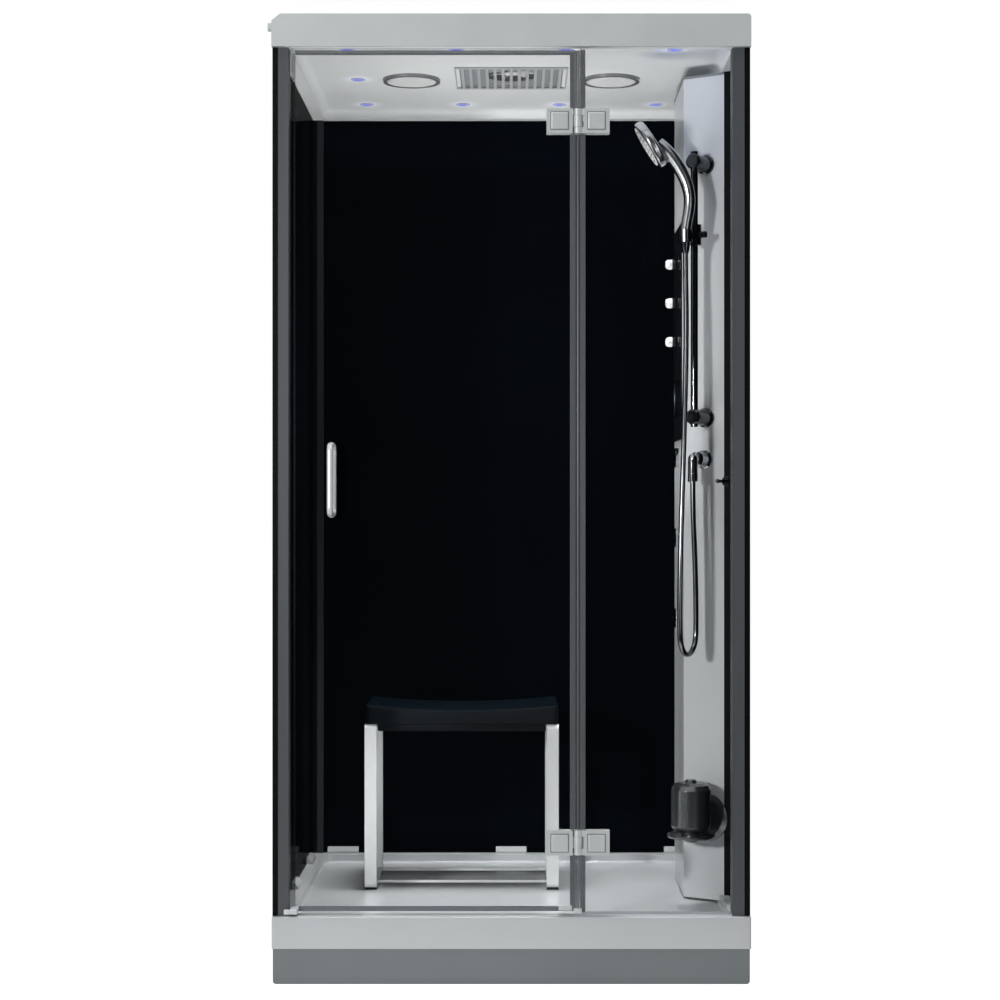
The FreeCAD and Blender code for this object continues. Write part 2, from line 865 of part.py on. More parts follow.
def glass_channels():
    """Black trims: channels on the side glass, a gasket under the panel, the column's edge."""
    channels = []
    for side in SIDES:
        outer, inner = ("edge_out", "edge_in") if side > 0 else ("-edge_in", "-edge_out")
        block = box(f"{inner}, post_front, rim_z", f"{outer}, post_front + channel_depth, roof_z")
        slot = (("wall_in - slot_gap", "wall_out + slot_gap") if side > 0
                else ("-wall_out - slot_gap", "slot_gap - wall_in"))
        groove = box(f"{slot[0]}, post_front + channel_back, rim_z - 1",
                     f"{slot[1]}, post_front + channel_depth + 1, roof_z + 1")
        channels.append(cut(block, groove))
    strip = box("panel_left, pane_y - gasket_width / 2, rim_z",
                "jamb_right, pane_y + gasket_width / 2, rim_z + gasket_height")
    groove = box("panel_left - 1, pane_y - half_glass, rim_z + gasket_floor",
                 "jamb_right + 1, pane_y + half_glass, rim_z + gasket_height + 1")
    edge = bind(DOCUMENT.addObject("Part::Box", "Box"), Length="trim_width",
                Width="trim_thickness", Height="column_high - rim_z")
    along = size("slant_length") - size("trim_width") - size("trim_end_gap")
    edge.Placement = FreeCAD.Placement(slant_point(along, size("trim_thickness"), size("rim_z")),
                                       FreeCAD.Rotation(VECTOR(1, 0, 0), slant_side()))
    rounds = []
    for radius, place, height in (("hook_base", "hook_place", "hook_height"),
                                  ("outlet_flange", "outlet_place", "outlet_line")):
        notch = bind(DOCUMENT.addObject("Part::Cylinder", "Rod"), Radius=f"{radius} + seat_gap",
                     Height="2 * trim_thickness")
        rounds.append(stand_off(notch, size(place), -size("trim_thickness") / 2, size(height)))
    return name_part("glass_channels", group(*channels, cut(strip, groove), cut(edge, *rounds)))


def side_glass(side):
    """One black side wall, from the front channel into the rear post."""
    low, high = ("wall_in", "wall_out") if side > 0 else ("-wall_out", "-wall_in")
    return box(f"{low}, post_front + channel_back + slot_gap, rim_z",
               f"{high}, rear_in_y + slot_depth - slot_gap, roof_z")


def left_wall_glass():
    """Left side wall."""
    return name_part("left_wall_glass", side_glass(-1))


def right_wall_glass():
    """Right side wall, drilled for the two water inlets."""
    holes = [rod(f"wall_in - 1, knob_line, knob_middle + {side} * inlet_pitch / 2",
                 "inlet_radius + seat_gap", "glass_thickness + 2", "X") for side in SIDES]
    return name_part("right_wall_glass", cut(side_glass(1), *holes))


def back_wall_glass():
    """Back wall, held in the slots of both rear posts."""
    reach = "rear_in + slot_depth - slot_gap"
    return name_part("back_wall_glass", box(f"-({reach}), back_in, rim_z", f"{reach}, back_out, roof_z"))


# ---------------------------------------------------------------- door and fixed panel
def hinge_heights():
    """Expressions of the two hinge heights."""
    return ("hinge_lower", "hinge_upper")


def hinge_zone(left, right, half_depth):
    """Boxes that keep an edge clear of both hinges."""
    return [box(f"{left}, pane_y - {half_depth}, {height} - hinge_cut",
                f"{right}, pane_y + {half_depth}, {height} + hinge_cut")
            for height in hinge_heights()]


def fixed_panel_glass():
    """Clear glass to the right of the hinge line."""
    plate = box("panel_left, pane_y - half_glass, rim_z + gasket_floor",
                "jamb_right + slot_depth - slot_gap, pane_y + half_glass, roof_z")
    rise = box("panel_left, pane_y - half_glass, roof_z",
               "wall_in - 2 * liner_rim, pane_y + half_glass, roof_z + panel_rise")
    notches = hinge_zone("panel_left - 1", "hinge_place + hinge_reach + hinge_plate - hinge_clamp", 10)
    return name_part("fixed_panel_glass", cut(fuse(plate, rise), *notches))


def seal_strip(low, high, glass_low, glass_high):
    """A straight seal with a groove where the glass sits."""
    block = box(f"{low[0]}, pane_y - half_seal, {low[1]}", f"{high[0]}, pane_y + half_seal, {high[1]}")
    groove = box(f"{glass_low[0]}, pane_y - half_glass, {glass_low[1]}",
                 f"{glass_high[0]}, pane_y + half_glass, {glass_high[1]}")
    return cut(block, groove)


def fixed_panel_seal():
    """Seal on the fixed panel's free edge, in three lengths between the hinges."""
    strip = seal_strip(("panel_left - seal_lip", "rim_z + gasket_height"),
                       ("panel_left + seal_grip - seal_lip", "roof_z"),
                       ("panel_left", "rim_z"),
                       ("panel_left + seal_grip", "roof_z + 1"))
    cuts = hinge_zone("panel_left - seal_lip - 1", "panel_left + seal_grip + 1", 10)
    return name_part("fixed_panel_seal", cut(strip, *cuts))


def door_glass():
    """Clear door glass with a notch for each hinge."""
    plate = box("door_left, pane_y - half_glass, door_low", "door_right, pane_y + half_glass, door_high")
    notches = hinge_zone("hinge_place - hinge_reach - hinge_plate + hinge_clamp", "door_right + 1", 10)
    return name_part("door_glass", cut(plate, *notches))


def door_hinge_seal():
    """Seal on the hinge edge, with a round bulb that turns about the hinge line."""
    strip = seal_strip(("door_right - seal_grip + seal_lip", "seal_low"),
                       ("door_right + seal_lip", "seal_high"),
                       ("door_right - seal_grip", "door_low"),
                       ("door_right", "door_high"))
    web = box("door_right + seal_lip - 1, pane_y - bulb_web / 2, seal_low",
              "hinge_place, pane_y + bulb_web / 2, seal_high")
    bulb = rod("hinge_place, pane_y, seal_low", "bulb_radius", "seal_high - seal_low")
    cuts = hinge_zone("door_right - seal_grip - 1", "hinge_place + bulb_radius + 1", 10)
    return name_part("door_hinge_seal", cut(fuse(strip, web, bulb), *cuts))


def door_latch_seal():
    """Magnetic seal on the door's free edge."""
    strip = seal_strip(("door_left - latch_gap + 0.5", "seal_low"),
                       ("door_left - latch_gap + 0.5 + seal_grip", "seal_high"),
                       ("door_left", "door_low"),
                       ("door_left + 20", "door_high"))
    return name_part("door_latch_seal", strip)


def band(low, high, glass_low, glass_high):
    """A level seal between the latch seal and the hinge seal."""
    left = "door_left - latch_gap + 0.5 + seal_grip"
    right = "door_right - seal_grip + seal_lip"
    return seal_strip((left, low), (right, high), (f"{left} - 1", glass_low), (f"{right} + 1", glass_high))


def door_top_seal():
    """Translucent band over the door's top edge."""
    return name_part("door_top_seal", band("seal_high - band_top + 1.5", "seal_high",
                                           "seal_high - band_top", "door_high"))


def door_bottom_seal():
    """Wiper under the door's bottom edge."""
    return name_part("door_bottom_seal", band("seal_low", "seal_low + band_bottom",
                                              "door_low", "seal_low + band_bottom + 1"))


def hinge_leaf(side, height):
    """Clamp plate and knuckles of one leaf; side -1 is the door's, 1 the panel's."""
    near = f"hinge_place + {side} * hinge_reach"
    far = f"hinge_place + {side} * (hinge_reach + hinge_plate)"
    mouth = f"hinge_place + {side} * (hinge_reach + hinge_plate - hinge_clamp)"
    ends = (near, far) if side > 0 else (far, near)
    low = f"{height} - hinge_height / 2"
    high = f"{height} + hinge_height / 2"
    plate = box(f"{ends[0]}, pane_y - hinge_depth / 2, {low}", f"{ends[1]}, pane_y + hinge_depth / 2, {high}")
    slot = (mouth, f"{far} + 1") if side > 0 else (f"{far} - 1", mouth)
    clamp = box(f"{slot[0]}, pane_y - half_glass, {low} - 1", f"{slot[1]}, pane_y + half_glass, {high} + 1")
    middle = f"({near} + {far}) / 2"
    caps = [box(f"{middle} - cap_size / 2, {start}, {height} - cap_size / 2",
                f"{middle} + cap_size / 2, {end}, {height} + cap_size / 2")
            for start, end in (("pane_y - hinge_depth / 2 - cap_relief", "pane_y - hinge_depth / 2"),
                               ("pane_y + hinge_depth / 2", "pane_y + hinge_depth / 2 + cap_relief"))]
    if side < 0:
        spans = [(f"{height} - knuckle_share / 2", f"{height} + knuckle_share / 2")]
    else:
        spans = [(low, f"{height} - knuckle_share / 2 - knuckle_gap"),
                 (f"{height} + knuckle_share / 2 + knuckle_gap", high)]
    knuckles = []
    arm_ends = ("hinge_place", near) if side > 0 else (near, "hinge_place")
    for start, end in spans:
        knuckles.append(rod(f"hinge_place, pane_y, {start}", "knuckle_radius", f"({end}) - ({start})"))
        knuckles.append(box(f"{arm_ends[0]}, pane_y - hinge_arm / 2, {start}",
                            f"{arm_ends[1]}, pane_y + hinge_arm / 2, {end}"))
    bore_radius = "hinge_pin + running_gap" if side < 0 else "hinge_pin"
    bore = rod(f"hinge_place, pane_y, {low} - 1", bore_radius, "hinge_height + 2")
    return cut(fuse(plate, *knuckles, *caps), clamp, bore)


def hinge_fixed_leaves():
    """Hinge halves that clamp the fixed panel."""
    return name_part("hinge_fixed_leaves", group(*[hinge_leaf(1, height) for height in hinge_heights()]))


def hinge_door_leaves():
    """Hinge halves that clamp the door glass."""
    return name_part("hinge_door_leaves", group(*[hinge_leaf(-1, height) for height in hinge_heights()]))


def hinge_pins():
    """Pins held in the fixed leaves, on which the door turns."""
    pins = [rod(f"hinge_place, pane_y, {height} - hinge_height / 2", "hinge_pin", "hinge_height")
            for height in hinge_heights()]
    return name_part("hinge_pins", group(*pins))


def handle_grip(side):
    """One straight grip on two short arms, on the outer or inner face of the glass."""
    face = size("pane_y") + side * size("half_glass")
    rise, bend, radius = size("handle_rise"), size("handle_bend"), size("handle_radius")
    half = size("handle_length") / 2 - radius
    diagonal = bend * math.sqrt(0.5)

    def spot(out, up):
        return VECTOR(size("handle_x"), face + side * out, size("handle_height") + up)

    runs = []
    for end in SIDES:
        arm = Part.LineSegment(spot(0, end * half), spot(rise - bend, end * half))
        corner = Part.Arc(spot(rise - bend, end * half),
                          spot(rise - bend + diagonal, end * (half - bend + diagonal)),
                          spot(rise, end * (half - bend)))
        runs.append([arm.toShape(), corner.toShape()])
    grip = Part.LineSegment(spot(rise, bend - half), spot(rise, half - bend)).toShape()
    path = Part.Wire(Part.__sortEdges__([*runs[0], grip, *runs[1]]))
    section = Part.Wire([Part.Circle(spot(0, -half), VECTOR(0, side, 0), radius).toShape()])
    bosses = [Part.makeCylinder(size("boss_radius"), size("boss_height"), spot(0, end * half),
                                VECTOR(0, side, 0)) for end in SIDES]
    whole = path.makePipeShell([section], True, False).fuse(bosses)
    return solid(whole.removeSplitter(), "handle_grip")


def door_handles():
    """A straight pull on each face of the door glass."""
    return name_part("door_handles", group(handle_grip(-1), handle_grip(1)))


# ---------------------------------------------------------------- roof
def roof_canopy():
    """Roof shell: deep fascia, one chamfered long edge and one rounded one."""
    profile = ("-half_width, 0", "half_width, 0", "half_width, roof_height",
               "roof_chamfer_width - half_width, roof_height",
               "-half_width, roof_height - roof_chamfer_height")
    body = padded("XZ_Plane", profile, "cabin_depth")
    at(body, "0, half_depth, roof_z")
    inside = ("roof_wall - half_width, roof_wall", "half_width - roof_wall, roof_wall",
              "half_width - roof_wall, cabin_depth - roof_wall",
              "roof_wall - half_width, cabin_depth - roof_wall")
    inside = tuple(f"{x}, -({y})" for x, y in (point.split(",") for point in inside))
    pocket(body, inside, "roof_height - roof_skin - roof_chamfer_height", upward=True)
    upper = ("roof_wall + roof_chamfer_width - half_width, roof_wall",
             "half_width - roof_wall, roof_wall",
             "half_width - roof_wall, cabin_depth - roof_wall",
             "roof_wall + roof_chamfer_width - half_width, cabin_depth - roof_wall")
    upper = tuple(f"{x}, -({y})" for x, y in (point.split(",") for point in upper))
    pocket(body, upper, "roof_height - roof_skin", upward=True)
    top, side = size("roof_height"), size("half_width")
    fillet(body, "roof_rounding",
           lambda point, run: abs(run.y) > 0.9 and point.x > side - 1 and point.z > top - 1)
    start = "-half_width - grommet_reach, grommet_inset - half_depth, top_z - grommet_drop"
    grommet = rod(start, "grommet_radius", "grommet_reach + 1", "X")
    bore = rod(start.replace("- grommet_reach", "- grommet_reach - 1"), "grommet_bore",
               "grommet_reach + roof_wall + 3", "X")
    return name_part("roof_canopy", cut(fuse(body, grommet), bore))


def ceiling_liner():
    """Pale ceiling tray with a coved edge, open above the grille."""
    body = padded("XY_Plane", rectangle("liner_x", "liner_y"), "cove_rise + liner_skin")
    at(body, "0, 0, roof_z")
    left = "wall_in - liner_rim"
    front = "liner_front - liner_y"
    back = "back_in - liner_rim"
    cavity = (f"-({left}), {front}", f"{left}, {front}", f"{left}, {back}", f"-({left}), {back}")
    pocket(body, cavity, "cove_rise", upward=True)
    rise = size("cove_rise")
    fillet(body, "liner_rim",
           lambda point, run: abs(run.z) > 0.9 and abs(point.x) < size("liner_x") - 5)
    fillet(body, "cove_radius",
           lambda point, run: abs(point.z - rise) < 0.1 and abs(run.z) < 0.1)
    opening = box("-(grille_width / 2 - grille_margin), -grille_line - grille_depth / 2 + grille_margin,"
                  " ceiling_z - 1",
                  "grille_width / 2 - grille_margin, -grille_line + grille_depth / 2 - grille_margin,"
                  " loft_z + 1")
    return name_part("ceiling_liner", cut(body, opening))


def ceiling_grille():
    """Slotted grille under the fan."""
    front = "-grille_line - grille_depth / 2"
    back = "-grille_line + grille_depth / 2"
    plate = box(f"-grille_width / 2, {front}, ceiling_z - grille_thickness",
                f"grille_width / 2, {back}, ceiling_z")
    slot = (f"((grille_width - 2 * grille_border - {GRILLE_SLOTS - 1} * grille_bar)"
            f" / {GRILLE_SLOTS})")
    slots = []
    for number in range(GRILLE_SLOTS):
        start = f"-grille_width / 2 + grille_border + {number} * ({slot} + grille_bar)"
        slots.append(box(f"{start}, {front} + grille_margin, ceiling_z - grille_thickness - 1",
                         f"{start} + {slot}, {back} - grille_margin, ceiling_z + 1"))
    return name_part("ceiling_grille", cut(plate, *slots))


def fan_housing():
    """Plate and square frame above the grille, with the motor's spider."""
    half = "fan_frame / 2"
    plate = box("-grille_width / 2, -grille_line - grille_depth / 2, loft_z",
                "grille_width / 2, -grille_line + grille_depth / 2, loft_z + fan_plate")
    frame = box(f"-{half}, -grille_line - {half}, loft_z",
                f"{half}, -grille_line + {half}, loft_z + fan_plate + fan_frame_height")
    bore = rod("0, -grille_line, loft_z - 1", "fan_bore", "fan_frame_height + fan_plate + 2")
    top = "loft_z + fan_plate + fan_frame_height"
    low = f"{top} - fan_blade / 2 - 5"
    spokes = [box(f"-{half}, -grille_line - fan_spoke / 2, {low}", f"{half}, -grille_line + fan_spoke / 2, {top}"),
              box(f"-fan_spoke / 2, -grille_line - {half}, {low}", f"fan_spoke / 2, -grille_line + {half}, {top}")]
    motor = rod(f"0, -grille_line, {low}", "fan_motor", f"({top}) - ({low})")
    bearing = rod(f"0, -grille_line, {low} - 1", "fan_shaft + running_gap", f"({top}) - ({low}) + 2")
    return name_part("fan_housing", cut(fuse(cut(fuse(plate, frame), bore), *spokes, motor), bearing))


def fan_rotor():
    """Hub with pitched blades and a shaft in the motor's bearing."""
    low = size("loft_z") + size("fan_plate") + 2
    height = size("fan_blade_height")
    hub_radius = size("fan_hub")
    reach = size("fan_bore") - size("fan_tip_gap")
    centre = VECTOR(0, -size("grille_line"), low)
    hub = Part.makeCylinder(hub_radius, height, centre)
    shaft_top = size("loft_z") + size("fan_plate") + size("fan_frame_height") - 0.5
    shaft = Part.makeCylinder(size("fan_shaft"), shaft_top - low, centre)
    blades = []
    for number in range(FAN_BLADES):
        blade = Part.makeBox(reach - hub_radius + 2, size("fan_blade"), height * 0.9,
                             VECTOR(hub_radius - 2, -size("fan_blade") / 2, -height * 0.45))
        blade.rotate(VECTOR(), VECTOR(1, 0, 0), 38)
        blade.translate(VECTOR(0, 0, height / 2))
        blade.rotate(VECTOR(), VECTOR(0, 0, 1), 360 * number / FAN_BLADES)
        blade.translate(centre)
        blades.append(blade)
    return name_part("fan_rotor", solid(hub.fuse([shaft] + blades).removeSplitter(), "fan_rotor"))


def led_spots():
    """Places of the nine coloured lights in the ceiling."""
    spots = []
    for line in ("-led_front", "led_back"):
        for across in ("-led_outer", "-led_inner", "led_inner", "led_outer"):
            spots.append(f"{across}, {line}, ceiling_z")
    return spots + ["-led_outer, fixture_line, ceiling_z"]


def lamp_bezels():
    """Trim rings of the two lamps and the nine coloured lights."""
    rings = []
    for side in SIDES:
        lamp = ring("lamp_radius - lamp_rim", "lamp_radius", "-lamp_drop", "0")
        rings.append(at(lamp, f"{side} * lamp_place, fixture_line, ceiling_z"))
    for spot in led_spots():
        rings.append(at(ring("led_bore", "led_radius", "-led_drop", "0"), spot))
    return name_part("lamp_bezels", group(*rings))


def lamp_diffusers():
    """Pale discs inside the lamp rings."""
    discs = [rod(f"{side} * lamp_place, fixture_line, ceiling_z - lamp_drop + lamp_recess",
                 "lamp_radius - lamp_rim - seat_gap", "lamp_drop - lamp_recess") for side in SIDES]
    return name_part("lamp_diffusers", group(*discs))


def led_lenses():
    """Domed lenses of the coloured lights."""
    lenses = []
    for spot in led_spots():
        lens = turned(("0, -led_dome", "led_bore / 2, -led_dome * 0.8",
                       "led_bore - seat_gap, -led_drop / 2", "led_bore - seat_gap, 0", "0, 0"))
        lenses.append(at(lens, spot))
    return name_part("led_lenses", group(*lenses))


# ---------------------------------------------------------------- function column
def column_shell():
    """Moulded column on the right wall, open towards the wall."""
    outer = padded("XY_Plane", ("wall_in, column_front - column_slant", "wall_in, column_back + column_slant",
                                "column_x, column_back", "column_x, column_front"),
                   "column_high - column_low")
    at(outer, "0, 0, column_low")
    inner = padded("XY_Plane", (
        "wall_in, column_front - column_slant + skin_shift",
        "wall_in + 1, column_front - column_slant + skin_shift",
        "wall_in + 1, column_back + column_slant - skin_shift",
        "wall_in, column_back + column_slant - skin_shift",
        "column_x + column_skin, column_back + skin_step - skin_shift",
        "column_x + column_skin, column_front - skin_step + skin_shift"),
        "column_high - column_low - 2 * column_skin")
    at(inner, "0, 0, column_low + column_skin")
    ledge = box("basin_x - ledge_gap, -half_depth, floor_z", "half_width, half_depth, rim_z")
    holes = [rod(f"column_x - 1, knob_line, {height}", "spindle_radius + spindle_clearance",
                 "column_skin + 2", "X") for height in ("knob_top", "knob_middle", "knob_low")]
    holes += [rod(f"column_x - 1, jet_line, {height}", "jet_neck + seat_gap", "column_skin + 2", "X")
              for height in ("jet_upper", "jet_middle", "jet_lower")]
    pipe = bind(DOCUMENT.addObject("Part::Cylinder", "Rod"), Radius="steam_pipe + seat_gap",
                Height="column_skin * 4")
    stand_off(pipe, size("outlet_place"), -3 * size("column_skin"), size("outlet_line"))
    return name_part("column_shell", cut(outer, inner, ledge, pipe, *holes))


def control_panel():
    """Black glass panel on the column's flat face, drilled for the knobs."""
    plate = box("panel_x, -panel_front, panel_low", "column_x, panel_back, panel_high")
    holes = [rod(f"panel_x - 1, knob_line, {height}", "spindle_radius + spindle_clearance",
                 "panel_thickness + 2", "X") for height in ("knob_top", "knob_middle", "knob_low")]
    return name_part("control_panel", cut(plate, *holes))


def knob(label, height):
    """Turning knob with its spindle, which reaches into the valve."""
    body = turned(("0, -spindle_length", "spindle_radius, -spindle_length",
                   "spindle_radius, knob_gap", "knob_radius - 2, knob_gap",
                   "knob_radius, knob_gap + 2", "knob_radius, knob_length - 7",
                   "knob_radius - 2.5, knob_length - 2", "knob_radius - 6, knob_length",
                   "0, knob_length"))
    return name_part(label, facing(body, f"panel_x, knob_line, {height}", "-X"))


def mixer_valve():
    """Brass valve block behind the panel, bored for the three spindles."""
    block = box("valve_x, knob_line - valve_width / 2, knob_low - valve_margin",
                "valve_x + valve_depth, knob_line + valve_width / 2, knob_top + valve_margin")
    bores = [rod(f"valve_x - 1, knob_line, {height}", "spindle_radius + running_gap",
                 "spindle_length + 2", "X") for height in ("knob_top", "knob_middle", "knob_low")]
    return name_part("mixer_valve", cut(block, *bores))


def inlet_pipes():
    """Hot and cold inlets from the valve out through the right wall."""
    pipes = []
    for side in SIDES:
        start = f"valve_x + valve_depth, knob_line, knob_middle + {side} * inlet_pitch / 2"
        length = "half_width - inlet_end_gap - valve_x - valve_depth"
        pipes.append(cut(rod(start, "inlet_radius", length, "X"),
                         rod(start.replace("valve_depth", "valve_depth + 4", 1), "inlet_bore",
                             length, "X")))
    return name_part("inlet_pipes", group(*pipes))


def jet_housings():
    """Round body jets on the flat face, each with a ball socket."""
    housings = []
    for height in ("jet_upper", "jet_middle", "jet_lower"):
        flange = turned(("0, 0", "jet_radius, 0", "jet_radius, jet_drop - 4",
                         "jet_radius - 5, jet_drop", "0, jet_drop"))
        facing(flange, f"column_x, jet_line, {height}", "-X")
        neck = rod(f"column_x, jet_line, {height}", "jet_neck", "jet_neck_length", "X")
        socket = ball(f"jet_centre, jet_line, {height}", "jet_ball + running_gap")
        channel = rod(f"jet_centre, jet_line, {height}", "jet_channel", "jet_neck_length + jet_drop", "X")
        pivot = rod(f"jet_centre, jet_line, {height} - jet_pin_reach - jet_pin_end_gap",
                    "jet_pin + running_gap", "2 * (jet_pin_reach + jet_pin_end_gap)")
        housings.append(cut(fuse(flange, neck), socket, channel, pivot))
    return name_part("jet_housings", group(*housings))


def jet_ball(label, height):
    """Swivelling ball with its nozzle and its two upright pins."""
    sphere = ball(f"jet_centre, jet_line, {height}", "jet_ball")
    pins = rod(f"jet_centre, jet_line, {height} - jet_pin_reach", "jet_pin", "2 * jet_pin_reach")
    nozzle = rod(f"jet_centre - jet_ball - 1, jet_line, {height}", "jet_nozzle", "2 * jet_ball + 2", "X")
    return name_part(label, cut(fuse(sphere, pins), nozzle))


# ---------------------------------------------------------------- shower set
def riser_rail():
    """Round tube on which the handset slides."""
    tube_body = ring("rail_radius - rail_wall", "rail_radius", "0", "rail_high - rail_low")
    stand_up(tube_body, size("rail_place"), size("rail_standoff"), size("rail_low"))
    return name_part("riser_rail", tube_body)


def rail_brackets():
    """Two round brackets between the slanted face and the rail."""
    brackets = []
    heights = (size("rail_low") + size("bracket_inset"), size("rail_high") - size("bracket_inset"))
    for height in heights:
        reach = "rail_standoff + bracket_overreach"
        body = turned(("0, 0", "bracket_flange, 0", "bracket_flange, bracket_flange_height",
                       "bracket_radius, bracket_flange_height + 2", f"bracket_radius, {reach} - 4",
                       f"bracket_radius - 4, {reach}", f"0, {reach}"))
        stand_off(body, size("rail_place"), 0, height)
        bore = bind(DOCUMENT.addObject("Part::Cylinder", "Rod"), Radius="rail_bore",
                    Height="2 * bracket_flange + 2")
        stand_up(bore, size("rail_place"), size("rail_standoff"), height - size("bracket_flange") - 1)
        brackets.append(cut(body, bore))
    return name_part("rail_brackets", group(*brackets))


def rail_slider():
    """Clamp that slides on the rail, with the arm that carries the cup."""
    along, out, height = size("rail_place"), size("rail_standoff"), size("slider_height")
    half = size("slider_length") / 2
    collar = bind(DOCUMENT.addObject("Part::Cylinder", "Rod"), Radius="slider_radius",
                  Height="slider_length")
    stand_up(collar, along, out, height - half)
    arm = bind(DOCUMENT.addObject("Part::Cylinder", "Rod"), Radius="arm_radius", Height="arm_length")
    stand_off(arm, along, out, height)
    clamp = bind(DOCUMENT.addObject("Part::Cylinder", "Rod"), Radius="clamp_radius",
                 Height="slider_radius + clamp_length - slider_wall")
    clamp.Placement = FreeCAD.Placement(slant_point(along, out, height),
                                        FreeCAD.Rotation(VECTOR(0, 0, 1), slant_side()))
    rail = bind(DOCUMENT.addObject("Part::Cylinder", "Rod"), Radius="rail_bore",
                Height="slider_length + 2")
    stand_up(rail, along, out, height - half - 1)
    pin = bind(DOCUMENT.addObject("Part::Cylinder", "Rod"), Radius="arm_pin + running_gap",
               Height="arm_pin_length + 5")
    stand_off(pin, along, out + size("arm_length") - size("arm_pin_length") - 0.5, height)
    return name_part("rail_slider", cut(fuse(collar, arm, clamp), rail, pin))


def cup_centre(height):
    """A point on the axis of the handset's cup."""
    return slant_point(size("rail_place"), size("rail_standoff") + size("cup_place"), height)


def handset_holder():
    """Tilting cup with a slot at the front for the hose."""
    low, tall = size("cup_low"), size("cup_height")
    along, out = size("rail_place"), size("rail_standoff")
    cup = Part.makeCylinder(size("cup_radius"), tall, cup_centre(low))
    face = out + size("arm_length") + size("seat_gap")
    wall_middle = (size("cup_top_bore") + size("cup_radius")) / 2
    boss_length = out + size("cup_place") - wall_middle - face
    boss = Part.makeCylinder(size("arm_radius"), boss_length,
                             slant_point(along, face, size("slider_height")), slant_normal())
    pin = Part.makeCylinder(size("arm_pin"), size("arm_pin_length") + 1,
                            slant_point(along, face + 1, size("slider_height")), -slant_normal())
    bore = Part.makeCone(size("cup_bottom_bore"), size("cup_top_bore"), tall, cup_centre(low))
    slot = Part.makeBox(size("cup_slot"), size("cup_radius") + 1, tall + 2,
                        VECTOR(-size("cup_slot") / 2, 0, -1))
    turn = FreeCAD.Rotation(VECTOR(0, 1, 0), slant_normal())
    slot.Placement = FreeCAD.Placement(cup_centre(low), turn)
    shape = cup.fuse([boss, pin]).cut([bore, slot]).removeSplitter()
    return name_part("handset_holder", solid(shape, "handset_holder"))


def face_frame():
    """Middle of the spray face, its long direction and its outward normal."""
    centre = cup_centre(size("cup_high"))
    top = centre + VECTOR(FACE_TOP[0], 0, FACE_TOP[1])
    bottom = centre + VECTOR(FACE_BOTTOM[0], 0, FACE_BOTTOM[1])
    long_way = (bottom - top).normalize()
    normal = VECTOR(0, 1, 0).cross(long_way)
    return (top + bottom) * 0.5, long_way, normal, (bottom - top).Length / 2


def oval_block(middle, long_way, normal, half_length, half_width, thickness):
    """An oval plate whose thickness runs against the normal."""
    oval = Part.Ellipse(middle + long_way * half_length,
                        middle + VECTOR(0, half_width, 0), middle)
    plate = Part.Face(Part.Wire([oval.toShape()]))
    return plate.extrude(normal * -thickness)


def handset_body():
    """Hand shower: tapered neck, bent handle and oval head."""
    high = size("cup_high")
    low = size("cup_low") + size("handset_neck")
    taper = (size("cup_top_bore") - size("cup_bottom_bore")) / size("cup_height")
    neck_radius = size("cup_bottom_bore") - size("seat_gap") + taper * size("handset_neck")
    top_radius = size("cup_top_bore") - size("seat_gap")
    neck = Part.makeCone(neck_radius, top_radius, high - low, cup_centre(low))
    centres = [cup_centre(high) + VECTOR(step, 0, rise) for step, rise, _ in HANDLE_SECTIONS]
    wires = []
    for index, (centre, section) in enumerate(zip(centres, HANDLE_SECTIONS)):
        before = centres[max(index - 1, 0)]
        after = centres[min(index + 1, len(centres) - 1)]
        run = after - before if index else VECTOR(0, 0, 1)
        wires.append(Part.Wire([Part.Circle(centre, run, section[2]).toShape()]))
    handle = Part.makeLoft(wires, True, False)
    middle, long_way, normal, half_length = face_frame()
    head = oval_block(middle, long_way, normal, half_length, FACE_HALF_WIDTH, HEAD_THICKNESS)
    rounding = [edge for edge in head.Edges if edge.Length > 4 * FACE_HALF_WIDTH]
    head = head.makeFillet(HEAD_THICKNESS * 0.35, rounding)
    shape = neck.fuse([handle, head]).removeSplitter()
    return name_part("handset_body", solid(shape, "handset_body"))


def handset_face():
    """Spray plate in the head's face."""
    middle, long_way, normal, half_length = face_frame()
    plate = oval_block(middle + normal * FACE_PROUD, long_way, normal, half_length - FACE_INSET - 2,
                       FACE_HALF_WIDTH - FACE_INSET, FACE_PROUD)
    return name_part("handset_face", solid(plate, "handset_face"))


def hose_nut():
    """Nut that joins the hose to the handset."""
    low = size("cup_low") + size("handset_neck") - size("hose_nut_length")
    body = turned(("0, 0", "hose_radius + 1, 0", "hose_nut_radius, hose_nut_length / 2",
                   "hose_nut_radius, hose_nut_length", "0, hose_nut_length"))
    body.Placement = FreeCAD.Placement(cup_centre(low), FreeCAD.Rotation())
    return name_part("hose_nut", body)


